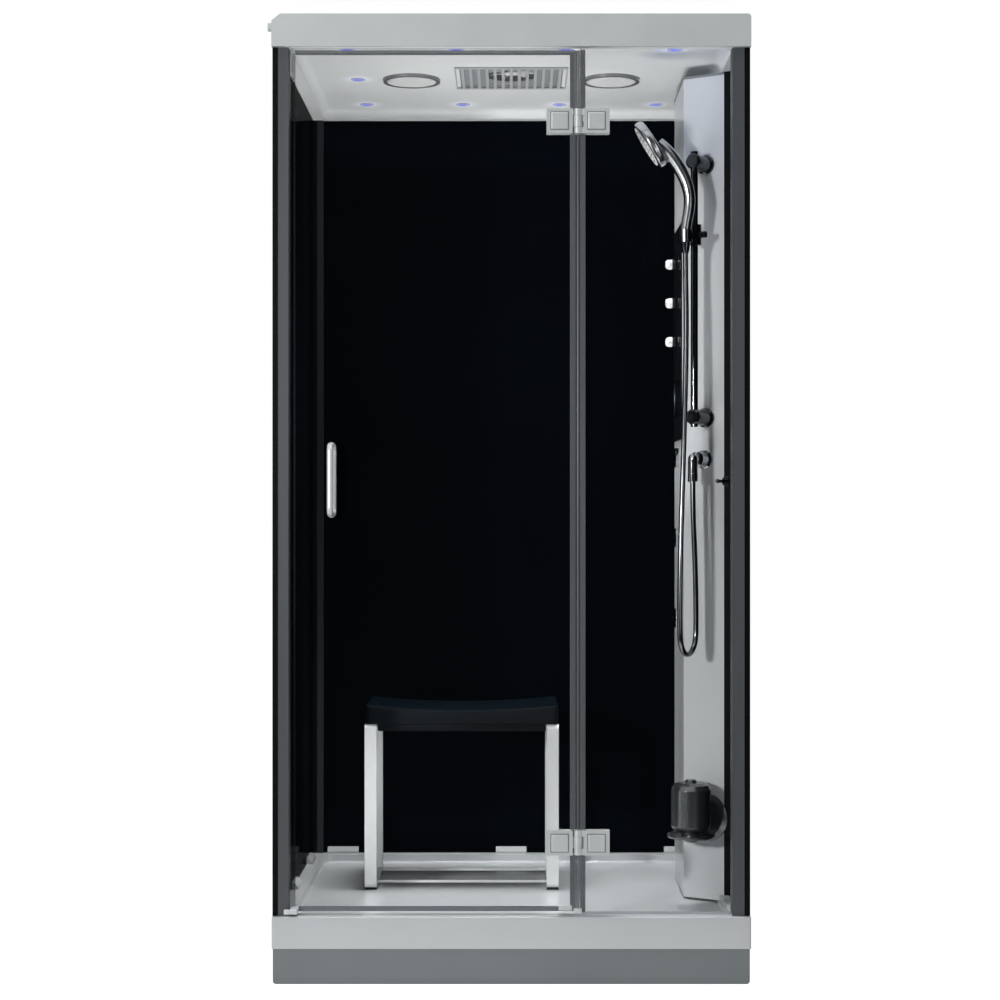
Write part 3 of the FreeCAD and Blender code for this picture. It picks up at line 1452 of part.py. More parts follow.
def elbow_outlet():
    """Wall elbow that feeds the hose, with its nut."""
    along, out, height = size("elbow_place"), size("rail_standoff"), size("elbow_height")
    flange = turned(("0, 0", "elbow_flange, 0", "elbow_flange, elbow_flange_height - 3",
                     "elbow_flange - 3, elbow_flange_height", "elbow_arm, elbow_flange_height",
                     "elbow_arm, rail_standoff - elbow_arm_end_gap - 5",
                     "elbow_radius + 1.5, rail_standoff - elbow_arm_end_gap",
                     "0, rail_standoff - elbow_arm_end_gap"))
    stand_off(flange, along, 0, height)
    level = bind(DOCUMENT.addObject("Part::Cylinder", "Rod"), Radius="elbow_radius",
                 Height="rail_standoff")
    stand_off(level, along, 0, height)
    knee = bind(DOCUMENT.addObject("Part::Sphere", "Ball"), Radius="elbow_radius")
    stand_up(knee, along, out, height)
    down = turned(("0, 0", "elbow_nut - 2, 0", "elbow_nut, 2", "elbow_nut, elbow_nut_length",
                   "elbow_radius, elbow_nut_length + 1",
                   "elbow_radius, elbow_drop + elbow_nut_length",
                   "0, elbow_drop + elbow_nut_length"))
    drop = size("elbow_drop") + size("elbow_nut_length")
    stand_up(down, along, out, height - drop)
    return name_part("elbow_outlet", fuse(flange, level, knee, down))


def shower_hose():
    """Hose from the elbow to the handset: straight runs joined by tangent arcs."""
    points = [VECTOR(*point) for point in HOSE_ROUTE]
    points[0] = slant_point(size("elbow_place"), size("rail_standoff"),
                            size("elbow_height") - size("elbow_drop") - size("elbow_nut_length"))
    points[-1] = cup_centre(size("cup_low") + size("handset_neck") - size("hose_nut_length"))
    points[1] = VECTOR(points[0].x, points[0].y, points[1].z)
    points[-2] = VECTOR(points[-1].x, points[-1].y, points[-2].z)
    edges, radii, last = [], [], points[0]
    for before, corner, after in zip(points, points[1:], points[2:]):
        way_in, way_out = corner - before, after - corner
        turn = way_in.getAngle(way_out)
        shorter = min(way_in.Length, way_out.Length)
        tangent = 0.45 * shorter
        radii.append(tangent / math.tan(turn / 2))
        way_in.normalize()
        way_out.normalize()
        start, end = corner - way_in * tangent, corner + way_out * tangent
        inward = (way_out - way_in).normalize()
        middle = corner + inward * (radii[-1] / math.cos(turn / 2) - radii[-1])
        edges.append(Part.LineSegment(last, start).toShape())
        edges.append(Part.Arc(start, middle, end).toShape())
        last = end
    edges.append(Part.LineSegment(last, points[-1]).toShape())
    path = Part.Wire(edges)
    section = Part.Wire([Part.Circle(points[0], points[1] - points[0], size("hose_radius")).toShape()])
    pipe = path.makePipeShell([section], True, False)
    expected = math.pi * size("hose_radius") ** 2 * path.Length
    print("hose length", round(path.Length, 1), "volume share", round(pipe.Volume / expected, 4))
    print("hose radii", [round(radius) for radius in radii])
    return name_part("shower_hose", solid(pipe, "shower_hose"))


# ---------------------------------------------------------------- steam outlet, generator, hook
def steam_outlet():
    """Wall flange, neck and drum, bored at the top for the aroma cup, with a dish below."""
    along, out, height = size("outlet_place"), size("outlet_standoff"), size("outlet_height")
    flange = turned(("0, 0", "outlet_flange, 0", "outlet_flange, outlet_flange_height / 2",
                     "outlet_flange - outlet_flange_bevel, outlet_flange_height",
                     "0, outlet_flange_height"))
    stand_off(flange, along, 0, size("outlet_line"))
    neck = bind(DOCUMENT.addObject("Part::Cylinder", "Rod"), Radius="outlet_neck",
                Height="outlet_standoff")
    stand_off(neck, along, 0, size("outlet_line"))
    drum = turned(("0, -spout_drop", "spout_radius, -spout_drop",
                   "dish_stem, -dish_drop - 2 * dish_floor",
                   "dish_radius - dish_rim, -dish_drop - dish_floor", "dish_radius, -dish_drop",
                   "dish_radius, dish_rim_rise - dish_drop",
                   "dish_radius - dish_rim, dish_rim_rise - dish_drop",
                   "dish_radius - 2 * dish_rim, -dish_drop", "dish_stem, -dish_drop",
                   "dish_stem, -outlet_low", "outlet_radius - outlet_rounding, -outlet_low",
                   "outlet_radius - outlet_rounding / 3, -outlet_low + outlet_rounding / 3",
                   "outlet_radius, -outlet_low + outlet_rounding",
                   "outlet_radius, outlet_seam", "outlet_cup, outlet_seam",
                   "outlet_cup, outlet_seam - outlet_cup_depth",
                   "0, outlet_seam - outlet_cup_depth"))
    stand_up(drum, along, out, height)
    return name_part("steam_outlet", fuse(flange, neck, drum))


def steam_cap():
    """Domed lid that lifts out of the steam outlet's cup."""
    body = turned(("0, -outlet_cup_depth + cap_plug_gap",
                   "outlet_cup - seat_gap, -outlet_cup_depth + cap_plug_gap",
                   "outlet_cup - seat_gap, seat_gap", "outlet_radius, seat_gap",
                   "outlet_radius, cap_rise - cap_rounding",
                   "outlet_radius - cap_rounding / 3, cap_rise - cap_rounding / 3",
                   "outlet_radius - cap_rounding, cap_rise", "cap_button + 2, cap_rise",
                   "cap_button, cap_rise + cap_button_rise - 2",
                   "cap_button - 2, cap_rise + cap_button_rise", "0, cap_rise + cap_button_rise"))
    stand_up(body, size("outlet_place"), size("outlet_standoff"),
             size("outlet_height") + size("outlet_seam"))
    return name_part("steam_cap", body)


def steam_generator():
    """Boiler box inside the column, with its pipe to the outlet."""
    case = box("wall_in - generator_depth, -generator_front, generator_low",
               "wall_in, generator_back, generator_high")
    pipe = bind(DOCUMENT.addObject("Part::Cylinder", "Rod"), Radius="steam_pipe",
                Height="steam_pipe_reach")
    stand_off(pipe, size("outlet_place"), -size("steam_pipe_reach"), size("outlet_line"))
    return name_part("steam_generator", fuse(case, pipe))


def robe_hook():
    """Peg with a round base and a ball end, beside the elbow."""
    along, height = size("hook_place"), size("hook_height")
    base = Part.makeCylinder(size("hook_base"), size("hook_base_height"),
                             slant_point(along, 0, height), slant_normal())
    stem = Part.makeCylinder(size("hook_stem"), size("hook_reach"),
                             slant_point(along, 0, height), slant_normal())
    end = Part.makeSphere(size("hook_end"), slant_point(along, size("hook_reach"), height))
    return name_part("robe_hook", solid(base.fuse([stem, end]).removeSplitter(), "robe_hook"))


# ---------------------------------------------------------------- stool
def leg_loop(low_x):
    """One side of the stool: a closed loop of flat bar."""
    outer = padded("YZ_Plane", ("-stool_front, leg_low", "stool_back, leg_low",
                                "stool_back, leg_high", "-stool_front, leg_high"), "leg_width")
    at(outer, f"{low_x}, 0, 0")
    fillet(outer, "leg_corner", lambda point, run: abs(run.x) > 0.9)
    inner = padded("YZ_Plane", (
        "leg_thickness - stool_front, leg_low + leg_thickness",
        "stool_back - leg_thickness, leg_low + leg_thickness",
        "stool_back - leg_thickness, leg_high - leg_thickness",
        "leg_thickness - stool_front, leg_high - leg_thickness"), "leg_width + 2")
    at(inner, f"{low_x} - 1, 0, 0")
    fillet(inner, "leg_corner - leg_thickness", lambda point, run: abs(run.x) > 0.9)
    return cut(outer, inner)


def stool_frame():
    """Two leg loops joined by two thin stretchers."""
    bars = [rod(f"stool_left + leg_width - 1, {line}, leg_low + leg_thickness / 2",
                "stretcher_radius", "stool_width - 2 * leg_width + 2", "X")
            for line in ("stretcher_front", "stretcher_back")]
    return name_part("stool_frame", fuse(*[leg_loop(low_x) for low_x in LEG_SIDES], *bars))


def stool_tips():
    """Rubber pads under the four corners of the stool."""
    pads = []
    for left in LEG_SIDES:
        for start in ("leg_corner - stool_front", "stool_back - leg_corner - tip_length"):
            pads.append(box(f"{left}, {start}, floor_z",
                            f"{left} + leg_width, {start} + tip_length, leg_low"))
    return name_part("stool_tips", group(*pads))


def stool_seat():
    """Moulded seat with a dished top."""
    slab = box("stool_left, -stool_front, leg_high", "stool_right, stool_back, seat_high")
    lip = box("stool_left + leg_width + 2, seat_lip_inset - stool_front, leg_high - seat_lip",
              "stool_right - leg_width - 2, stool_back - seat_lip_inset, leg_high + 1")
    dish = rod("-stool_line, -stool_front - 1, seat_high - seat_dip + dip_radius", "dip_radius",
               "stool_depth + 2", "Y")
    return name_part("stool_seat", cut(fuse(slab, lip), dish))


def build_parts():
    """Every sub-part of the cabin, from the floor up."""
    return [
        shower_tray(), skirt_panels(), tray_frame(), adjustable_feet(),
        drain_flange(), drain_cover(), drain_trap(),
        panel_clips(), front_posts(), rear_posts(), glass_channels(),
        left_wall_glass(), right_wall_glass(), back_wall_glass(),
        fixed_panel_glass(), fixed_panel_seal(),
        door_glass(), door_hinge_seal(), door_latch_seal(), door_top_seal(), door_bottom_seal(),
        hinge_fixed_leaves(), hinge_door_leaves(), hinge_pins(), door_handles(),
        roof_canopy(), ceiling_liner(), ceiling_grille(), fan_housing(), fan_rotor(),
        lamp_bezels(), lamp_diffusers(), led_lenses(),
        column_shell(), control_panel(),
        knob("knob_upper", "knob_top"), knob("knob_centre", "knob_middle"), knob("knob_lower", "knob_low"),
        mixer_valve(), inlet_pipes(), jet_housings(),
        jet_ball("jet_ball_upper", "jet_upper"), jet_ball("jet_ball_centre", "jet_middle"),
        jet_ball("jet_ball_lower", "jet_lower"),
        riser_rail(), rail_brackets(), rail_slider(), handset_holder(),
        handset_body(), handset_face(), hose_nut(), elbow_outlet(), shower_hose(),
        steam_outlet(), steam_cap(), steam_generator(), robe_hook(),
        stool_frame(), stool_tips(), stool_seat(),
    ]


def check(parts):
    """Stops if any object failed or any sub-part is not a sound solid."""
    DOCUMENT.recompute()
    for item in DOCUMENT.Objects:
        if "Invalid" in item.State or "Error" in item.State:
            raise RuntimeError(f"{item.Name} failed: {item.State}")
    for item in parts:
        if item.Shape.isNull() or not item.Shape.isValid() or not item.Shape.Solids:
            raise RuntimeError(f"{item.Label} is not a valid solid")


def main():
    """Builds, checks and writes one file for each sub-part."""
    parts = build_parts()
    check(parts)
    os.makedirs("parts", exist_ok=True)
    for item in parts:
        item.Shape.exportStep(f"parts/{item.Label}.step")
    print(len(parts), "sub-parts written")


main()
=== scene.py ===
"""Looks of the steam shower cabin: materials, fine pieces, light and camera."""

import math

import bmesh
import bpy
from mathutils import Matrix, Vector


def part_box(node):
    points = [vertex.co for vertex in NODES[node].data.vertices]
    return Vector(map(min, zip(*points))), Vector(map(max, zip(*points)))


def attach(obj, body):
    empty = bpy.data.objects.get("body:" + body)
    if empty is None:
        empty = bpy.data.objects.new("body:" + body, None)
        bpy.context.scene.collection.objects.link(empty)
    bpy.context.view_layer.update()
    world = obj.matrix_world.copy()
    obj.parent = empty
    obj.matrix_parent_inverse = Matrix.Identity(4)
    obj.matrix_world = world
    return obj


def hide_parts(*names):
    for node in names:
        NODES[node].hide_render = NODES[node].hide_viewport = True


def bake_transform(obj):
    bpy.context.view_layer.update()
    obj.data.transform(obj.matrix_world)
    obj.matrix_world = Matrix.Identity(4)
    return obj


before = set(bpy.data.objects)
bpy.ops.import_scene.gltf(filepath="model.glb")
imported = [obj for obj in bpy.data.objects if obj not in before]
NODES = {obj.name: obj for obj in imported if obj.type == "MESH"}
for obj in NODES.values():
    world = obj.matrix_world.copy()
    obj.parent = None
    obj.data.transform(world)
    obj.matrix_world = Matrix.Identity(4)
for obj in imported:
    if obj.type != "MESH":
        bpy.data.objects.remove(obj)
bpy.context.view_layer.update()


# ---------------------------------------------------------------- camera
CAMERA_PLACE = (0, -5.02, 1.078)
CAMERA_LENS = 71.8
CAMERA_SHIFT = (-0.0113, 0.014)


def add_camera():
    """Level camera straight in front of the door side."""
    data = bpy.data.cameras.new("camera")
    data.lens = CAMERA_LENS
    data.sensor_width = 36
    data.shift_x, data.shift_y = CAMERA_SHIFT
    camera = bpy.data.objects.new("camera", data)
    camera.location = CAMERA_PLACE
    camera.rotation_euler = (math.pi / 2, 0, 0)
    bpy.context.scene.collection.objects.link(camera)
    bpy.context.scene.camera = camera


# ---------------------------------------------------------------- materials
def srgb(red, green, blue):
    """A display colour from 0 to 255 as the linear colour that shaders use."""
    def linear(value):
        value /= 255
        return value / 12.92 if value <= 0.04045 else ((value + 0.055) / 1.055) ** 2.4
    return (linear(red), linear(green), linear(blue), 1.0)


def shade(color, factor):
    """A darker or lighter version of a linear colour."""
    return tuple(min(1.0, part * factor) for part in color[:3]) + (1.0,)


class Finish:
    """A principled material with its detail in object space."""

    def __init__(self, name, **constants):
        self.material = bpy.data.materials.new(name)
        self.material.use_nodes = True
        self.tree = self.material.node_tree
        self.shader = self.tree.nodes["Principled BSDF"]
        for socket, value in constants.items():
            self.shader.inputs[socket.replace("_", " ")].default_value = value

    def node(self, kind, **properties):
        """A new node; capitalised names set its inputs."""
        made = self.tree.nodes.new(kind)
        for name, value in properties.items():
            if name[0].isupper():
                made.inputs[name].default_value = value
            else:
                setattr(made, name, value)
        return made

    def link(self, source, target):
        """Joins two sockets."""
        self.tree.links.new(source, target)

    def math(self, operation, first, second=None, clamp=False):
        """A sum of two sockets or numbers."""
        made = self.node("ShaderNodeMath", operation=operation, use_clamp=clamp)
        for socket, value in zip(made.inputs, (first, second)):
            if isinstance(value, (int, float)):
                socket.default_value = value
            elif value is not None:
                self.link(value, socket)
        return made.outputs["Value"]

    def noise(self, scale, stretch=(1, 1, 1), detail=4):
        """Noise in metres, stretched along the axes."""
        place = self.node("ShaderNodeTexCoord")
        mapping = self.node("ShaderNodeMapping", Scale=stretch)
        texture = self.node("ShaderNodeTexNoise", Scale=scale, Detail=detail)
        self.link(place.outputs["Object"], mapping.inputs["Vector"])
        self.link(mapping.outputs["Vector"], texture.inputs["Vector"])
        return texture.outputs["Fac"]

    def colour(self, low, high, fac):
        """Base colour between two colours."""
        ramp = self.node("ShaderNodeValToRGB")
        ramp.color_ramp.elements[0].position = 0.3
        ramp.color_ramp.elements[0].color = low
        ramp.color_ramp.elements[1].position = 0.7
        ramp.color_ramp.elements[1].color = high
        self.link(fac, ramp.inputs["Fac"])
        self.link(ramp.outputs["Color"], self.shader.inputs["Base Color"])
        return self

    def rough(self, low, high, fac):
        """Roughness between two values."""
        spread = self.node("ShaderNodeMapRange")
        spread.inputs["To Min"].default_value = low
        spread.inputs["To Max"].default_value = high
        self.link(fac, spread.inputs["Value"])
        self.link(spread.outputs["Result"], self.shader.inputs["Roughness"])
        return self

    def relief(self, fac=None, height=0.0, edge=0.0):
        """Bump of a height in metres over edges that are rounded to a radius in metres."""
        source = None
        if edge:
            source = self.node("ShaderNodeBevel", samples=4, Radius=edge).outputs["Normal"]
        if fac is not None:
            bump = self.node("ShaderNodeBump", Strength=0.3, Distance=height)
            self.link(fac, bump.inputs["Height"])
            if source:
                self.link(source, bump.inputs["Normal"])
            source = bump.outputs["Normal"]
        if source:
            self.link(source, self.shader.inputs["Normal"])
        return self


def varied(finish, color, spread, gloss, scale, grain=0.0, grain_scale=400, stretch=(1, 1, 1),
           edge=0.0):
    """Gives a finish its cloudy colour, its uneven gloss, its fine relief and its soft edges."""
    cloud = finish.noise(scale, stretch)
    finish.colour(shade(color, 1 - spread), shade(color, 1 + spread), cloud)
    finish.rough(*gloss, cloud)
    finish.relief(finish.noise(grain_scale, stretch, 2) if grain else None, grain, edge)
    return finish.material


def blend_colour(finish, share, other):
    """Turns the base colour to another one by a share from 0 to 1."""
    blend = finish.node("ShaderNodeMix", data_type="RGBA")
    finish.link(share, blend.inputs["Factor"])
    finish.link(finish.shader.inputs["Base Color"].links[0].from_socket, blend.inputs[6])
    blend.inputs[7].default_value = other
    finish.link(blend.outputs[2], finish.shader.inputs["Base Color"])


def acrylic(name, color, gloss=(0.24, 0.36)):
    """Glossy sanitary acrylic, slightly uneven like every vacuum-formed sheet."""
    finish = Finish(name, Coat_Weight=0.3, Coat_Roughness=0.1, IOR=1.49)
    return varied(finish, color, 0.015, gloss, 6, 0.00004, 260, edge=0.002)


def moulded(name, color, gloss=(0.38, 0.52), grain=0.00006, edge=0.0015):
    """Moulded plastic with a fine grain."""
    finish = Finish(name, IOR=1.48)
    return varied(finish, color, 0.03, gloss, 9, grain, 900, edge=edge)


def seat_plastic(name, color):
    """Dull moulded plastic with a leathery grain."""
    finish = Finish(name, IOR=1.45, Specular_IOR_Level=0.2)
    return varied(finish, color, 0.08, (0.5, 0.62), 12, 0.00012, 700, edge=0.002)


KNOB_GRIP_X = 0.4095


def knob_plating(name, bright, dark):
    """Bright satin knob with a dark grip ring at its foot, next to the column."""
    finish = Finish(name, Metallic=0.2, IOR=1.6)
    varied(finish, bright, 0.02, (0.2, 0.3), 60, 0.00001, 900, edge=0.0008)
    place = finish.node("ShaderNodeSeparateXYZ")
    finish.link(finish.node("ShaderNodeTexCoord").outputs["Object"], place.inputs["Vector"])
    blend_colour(finish, finish.math("GREATER_THAN", place.outputs["X"], KNOB_GRIP_X), dark)
    return finish.material


def polished(name, color, gloss=(0.05, 0.11), edge=0.0006):
    """Chrome plating with faint water haze."""
    finish = Finish(name, Metallic=1.0)
    return varied(finish, color, 0.03, gloss, 30, 0.00001, 60, edge=edge)


def satin(name, color, metallic=0.45, gloss=(0.26, 0.36), edge=0.0008):
    """Satin plating that scatters the room's light."""
    finish = Finish(name, Metallic=metallic, IOR=1.6)
    return varied(finish, color, 0.03, gloss, 24, 0.00001, 1200, edge=edge)


def anodised(name, color, metallic=0.1):
    """Drawn aluminium: fine lines along the length."""
    finish = Finish(name, Metallic=metallic, IOR=1.45, Specular_IOR_Level=0.25)
    return varied(finish, color, 0.05, (0.34, 0.46), 240, 0.00002, stretch=(1, 1, 0.01), edge=0.0008)


def dark_glass(name, mirrored, share):
    """Back-painted safety glass: part black mirror, so that it stays dark at flat angles too."""
    finish = Finish(name, Metallic=share, Specular_IOR_Level=0.0, Specular_Tint=(0.0, 0.0, 0.0, 1))
    return varied(finish, mirrored, 0.06, (0.03, 0.06), 3)


def clear_glass(name):
    """Clear pane: light passes, a little is mirrored."""
    finish = Finish(name, IOR=1.5, Alpha=0.055)
    return varied(finish, srgb(22, 28, 30), 0.05, (0.02, 0.05), 5)


def vinyl(name, color, alpha, gloss=(0.25, 0.4)):
    """Translucent seal."""
    finish = Finish(name, IOR=1.5, Alpha=alpha)
    return varied(finish, color, 0.06, gloss, 40, 0.00003, 300, stretch=(1, 1, 0.1))


def rubber(name, color):
    """Matt rubber."""
    finish = Finish(name, IOR=1.5)
    return varied(finish, color, 0.1, (0.6, 0.75), 60, 0.00008, 1200)


def coated_steel(name, color):
    """Galvanised or painted steel."""
    finish = Finish(name, Metallic=0.6)
    return varied(finish, color, 0.12, (0.4, 0.6), 45, 0.00005, 400)


def glowing(name, color, glow, strength):
    """Lens lit from behind."""
    finish = Finish(name, Emission_Color=glow, Emission_Strength=strength, IOR=1.49)
    return varied(finish, color, 0.05, (0.15, 0.25), 50)


LED_STEP = 0.2573
LED_ROWS = (-0.320, 0.312)
LED_SIDE = (-0.386, 0.005)
PAINTED_GLOW_TOP = 2.1745


def add_painted_glow(finish, reach, power, tint=(0.66, 0.76, 1.0, 1)):
    """Paints a bluish glow round each small lamp in the ceiling, as emission from the surface itself.
    """
    place = finish.node("ShaderNodeSeparateXYZ")
    finish.link(finish.node("ShaderNodeTexCoord").outputs["Object"], place.inputs["Vector"])
    across, along, up = (place.outputs[axis] for axis in "XYZ")
    shifted = finish.math("ADD", finish.math("DIVIDE", across, LED_STEP), 2.0)
    part = finish.math("SUBTRACT", finish.math("FRACT", shifted), 0.5)
    offset = finish.math("MULTIPLY", part, LED_STEP)
    row = finish.math("MINIMUM", *[finish.math("ABSOLUTE", finish.math("SUBTRACT", along, line))
                                   for line in LED_ROWS])
    side = finish.math("ABSOLUTE", finish.math("SUBTRACT", across, LED_SIDE[0]))
    side_row = finish.math("ABSOLUTE", finish.math("SUBTRACT", along, LED_SIDE[1]))
    lengths = [finish.math("SQRT", finish.math("ADD", finish.math("MULTIPLY", u, u),
                                               finish.math("MULTIPLY", v, v)))
               for u, v in ((offset, row), (side, side_row))]
    near = finish.math("MINIMUM", *lengths)
    # painted glow: emission that fades out from each small lamp's centre
    glow = finish.math("SUBTRACT", 1.0, finish.math("DIVIDE", near, reach), clamp=True)
    below = finish.math("LESS_THAN", up, PAINTED_GLOW_TOP)
    strength = finish.math("MULTIPLY", finish.math("POWER", glow, 1.6), power)
    finish.link(finish.math("MULTIPLY", strength, below), finish.shader.inputs["Emission Strength"])
    finish.shader.inputs["Emission Color"].default_value = tint


def ceiling_with_painted_glow(name, color):
    """Ceiling plastic with a painted glow round the small lamps."""
    finish = Finish(name, IOR=1.48)
    varied(finish, color, 0.02, (0.36, 0.46), 9, 0.00005, 900, edge=0.002)
    # painted glow round the small lamps, emitted by the plastic itself
    add_painted_glow(finish, 0.055, 0.5, (0.74, 0.78, 1.0, 1))
    return finish.material


def lamp_rings_painted_glow(name, color):
    """Satin rings: grey round the two lamps, with a painted glow where they hold a small one."""
    finish = Finish(name, Metallic=0.5, IOR=1.5)
    varied(finish, color, 0.03, (0.25, 0.35), 30, 0.00001, 300, edge=0.0006)
    # painted glow where a ring holds a small lamp
    add_painted_glow(finish, 0.03, 1.3, (0.46, 0.5, 0.95, 1))
    return finish.material


PANEL_GASKET_END = 0.52
PANEL_GASKET_BACK = -0.400
PANEL_GASKET_TOP = 0.185


def channels(name, black, grey):
    """Black glazing channels, with the clear panel's own gasket at the tray in grey."""
    finish = Finish(name, IOR=1.45, Specular_IOR_Level=0.08)
    varied(finish, black, 0.1, (0.45, 0.6), 40, 0.00004, 900, edge=0.0006)
    place = finish.node("ShaderNodeSeparateXYZ")
    finish.link(finish.node("ShaderNodeTexCoord").outputs["Object"], place.inputs["Vector"])
    inside = finish.math("LESS_THAN", finish.math("ABSOLUTE", place.outputs["X"]), PANEL_GASKET_END)
    front = finish.math("LESS_THAN", place.outputs["Y"], PANEL_GASKET_BACK)
    low = finish.math("LESS_THAN", place.outputs["Z"], PANEL_GASKET_TOP)
    share = finish.math("MULTIPLY", finish.math("MULTIPLY", inside, front), low)
    blend_colour(finish, share, grey)
    return finish.material


LOOKS = {
    "tray": acrylic("tray_acrylic", srgb(180, 184, 186)),
    "skirt": moulded("skirt_grey", srgb(106, 112, 114)),
    "roof": moulded("roof_plastic", srgb(181, 186, 187), (0.32, 0.44)),
    "ceiling": ceiling_with_painted_glow("ceiling_plastic", srgb(206, 209, 209)),
    "column": acrylic("column_acrylic", srgb(190, 194, 196)),
    "white": moulded("white_plastic", srgb(206, 208, 208)),
    "grille": moulded("grille_plastic", srgb(160, 163, 164)),
    "post": anodised("post_anodised", srgb(75, 79, 82)),
    # rear posts: the same aluminium as the front posts, darkened as painted shade
    "rear_post": anodised("rear_post_anodised_painted_shade", srgb(46, 48, 52)),
    "clip": moulded("clip_plastic", srgb(160, 164, 166)),
    "steel": coated_steel("stand_steel", srgb(150, 153, 155)),
    "brass": coated_steel("valve_brass", srgb(196, 164, 100)),
    "copper": coated_steel("supply_copper", srgb(190, 130, 98)),
    "chrome": polished("chrome", srgb(196, 199, 202)),
    "handset_chrome": polished("handset_chrome", srgb(214, 217, 220), (0.2, 0.28)),
    # rail, hook and nut: the chrome darkened as painted shade for its dark reflections
    "rail_chrome_painted_shade": polished("rail_chrome_painted_shade", srgb(120, 123, 126)),
    # brackets, slider, holder, display frame and buttons: the chrome darkened further as painted shade
    "dark_chrome_painted_shade": polished("dark_chrome_painted_shade", srgb(78, 81, 84), (0.14, 0.22)),
    "outlet_satin": satin("outlet_satin", srgb(112, 116, 119), 0.88, (0.22, 0.28)),
    # hose: the chrome darkened as painted shade for its dark reflections
    "hose_chrome_painted_shade": polished("hose_chrome_painted_shade", srgb(120, 124, 127), (0.16, 0.24), edge=0),
    "satin": satin("satin_plating", srgb(190, 195, 195), 0.3, (0.36, 0.46)),
    "bright_satin": satin("bright_satin", srgb(204, 207, 208), 0.2),
    "stool_satin": satin("stool_satin", srgb(222, 225, 226), 0.1, (0.3, 0.4)),
    "knob": knob_plating("knob_plating", srgb(232, 235, 236), srgb(40, 42, 45)),
    "rings": lamp_rings_painted_glow("lamp_rings_painted_glow", srgb(128, 131, 134)),
    "black_glass": dark_glass("black_glass", (0.0014, 0.0022, 0.0042, 1), 0.45),
    "panel": dark_glass("panel_glass", (0.005, 0.006, 0.008, 1), 0.45),
    "clear_glass": clear_glass("clear_glass"),
    "seal": vinyl("seal_vinyl", srgb(94, 98, 102), 0.66),
    "end_block": vinyl("end_block_vinyl", srgb(196, 200, 202), 0.95),
    "latch_seal": vinyl("latch_seal_vinyl", srgb(12, 13, 15), 0.2),
    "bottom_seal": vinyl("bottom_seal_vinyl", srgb(99, 103, 109), 0.94),
    "black_plastic": moulded("black_plastic", srgb(11, 12, 14), (0.5, 0.62)),
    "channels": channels("channel_black", srgb(5, 6, 8), srgb(150, 154, 158)),
    "fan_grey": moulded("fan_grey", srgb(132, 135, 138)),
    "joint_grey": rubber("joint_grey", srgb(112, 118, 120)),
    "seat": seat_plastic("seat_plastic", srgb(4, 9, 14)),
    "rubber": rubber("tip_rubber", srgb(24, 24, 25)),
    "lamp": glowing("lamp_opal", srgb(206, 208, 208), (1, 1, 1, 1), 0.06),
    "led": glowing("led_lens", srgb(112, 118, 190), (0.26, 0.28, 0.9, 1), 0.5),
    "display": glowing("display_glass", srgb(5, 7, 11), (0.25, 0.5, 1.0, 1), 0.002),
}

NODE_LOOKS = {
    "tray": ("shower_tray",),
    "skirt": ("skirt_panels",),
    "steel": ("tray_frame", "adjustable_feet", "steam_generator"),
    "chrome": ("jet_housings",
               "jet_ball_upper", "jet_ball_centre", "jet_ball_lower", "elbow_outlet"),
    "handset_chrome": ("handset_body",),
    "rail_chrome_painted_shade": ("riser_rail", "robe_hook", "hose_nut"),
    "dark_chrome_painted_shade": ("rail_brackets", "rail_slider", "handset_holder"),
    "outlet_satin": ("steam_outlet", "steam_cap"),
    "rings": ("lamp_bezels",),
    "satin": ("drain_flange", "drain_cover", "hinge_fixed_leaves", "hinge_door_leaves", "hinge_pins"),
    "bright_satin": ("door_handles",),
    "stool_satin": ("stool_frame",),
    "knob": ("knob_upper", "knob_centre", "knob_lower"),
    "black_plastic": ("drain_trap",),
    "channels": ("glass_channels",),
    "fan_grey": ("fan_housing",),
    "post": ("front_posts",),
    "clip": ("panel_clips",),
    "rear_post": ("rear_posts",),
    "black_glass": ("left_wall_glass", "right_wall_glass", "back_wall_glass"),
    "panel": ("control_panel",),
    "clear_glass": ("fixed_panel_glass", "door_glass"),
    "seal": ("fixed_panel_seal", "door_hinge_seal", "door_top_seal"),
    "latch_seal": ("door_latch_seal",),
    "bottom_seal": ("door_bottom_seal",),
    "roof": ("roof_canopy",),
    "ceiling": ("ceiling_liner",),
    "grille": ("ceiling_grille",),
    "white": ("handset_face", "fan_rotor"),
    "lamp": ("lamp_diffusers",),
    "led": ("led_lenses",),
    "column": ("column_shell",),
    "brass": ("mixer_valve",),
    "copper": ("inlet_pipes",),
    "rubber": ("stool_tips",),
    "seat": ("stool_seat",),
}


def dress_nodes():
    """Puts each CAD node's material in its slots."""
    for look, names in NODE_LOOKS.items():
        for name in names:
            for place in NODES[name].material_slots:
                place.material = LOOKS[look]


# ---------------------------------------------------------------- mesh helpers
def piece(name, build, looks, body, smooth=None):
    """An object from a bmesh, with its materials, riding on a body when one is given."""
    mesh = bpy.data.meshes.new(name)
    build.to_mesh(mesh)
    build.free()
    for look in looks:
        mesh.materials.append(LOOKS[look])
    if smooth is not None:
        for polygon in mesh.polygons:
            polygon.use_smooth = True
        mesh.set_sharp_from_angle(angle=math.radians(smooth))
    made = bpy.data.objects.new(name, mesh)
    bpy.context.scene.collection.objects.link(made)
    if body:
        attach(made, body)
    return made


def block(build, low, high):
    """Adds a box and returns its vertices."""
    size = Vector(high) - Vector(low)
    place = Matrix.Translation((Vector(high) + Vector(low)) / 2) @ Matrix.Diagonal((*size, 1))
    return bmesh.ops.create_cube(build, size=1, matrix=place)["verts"]


def edges_of(build, vertices, keep=lambda edge: True):
    """The edges between some vertices that pass a test."""
    own = set(vertices)
    return [edge for edge in build.edges if own.issuperset(edge.verts) and keep(edge)]


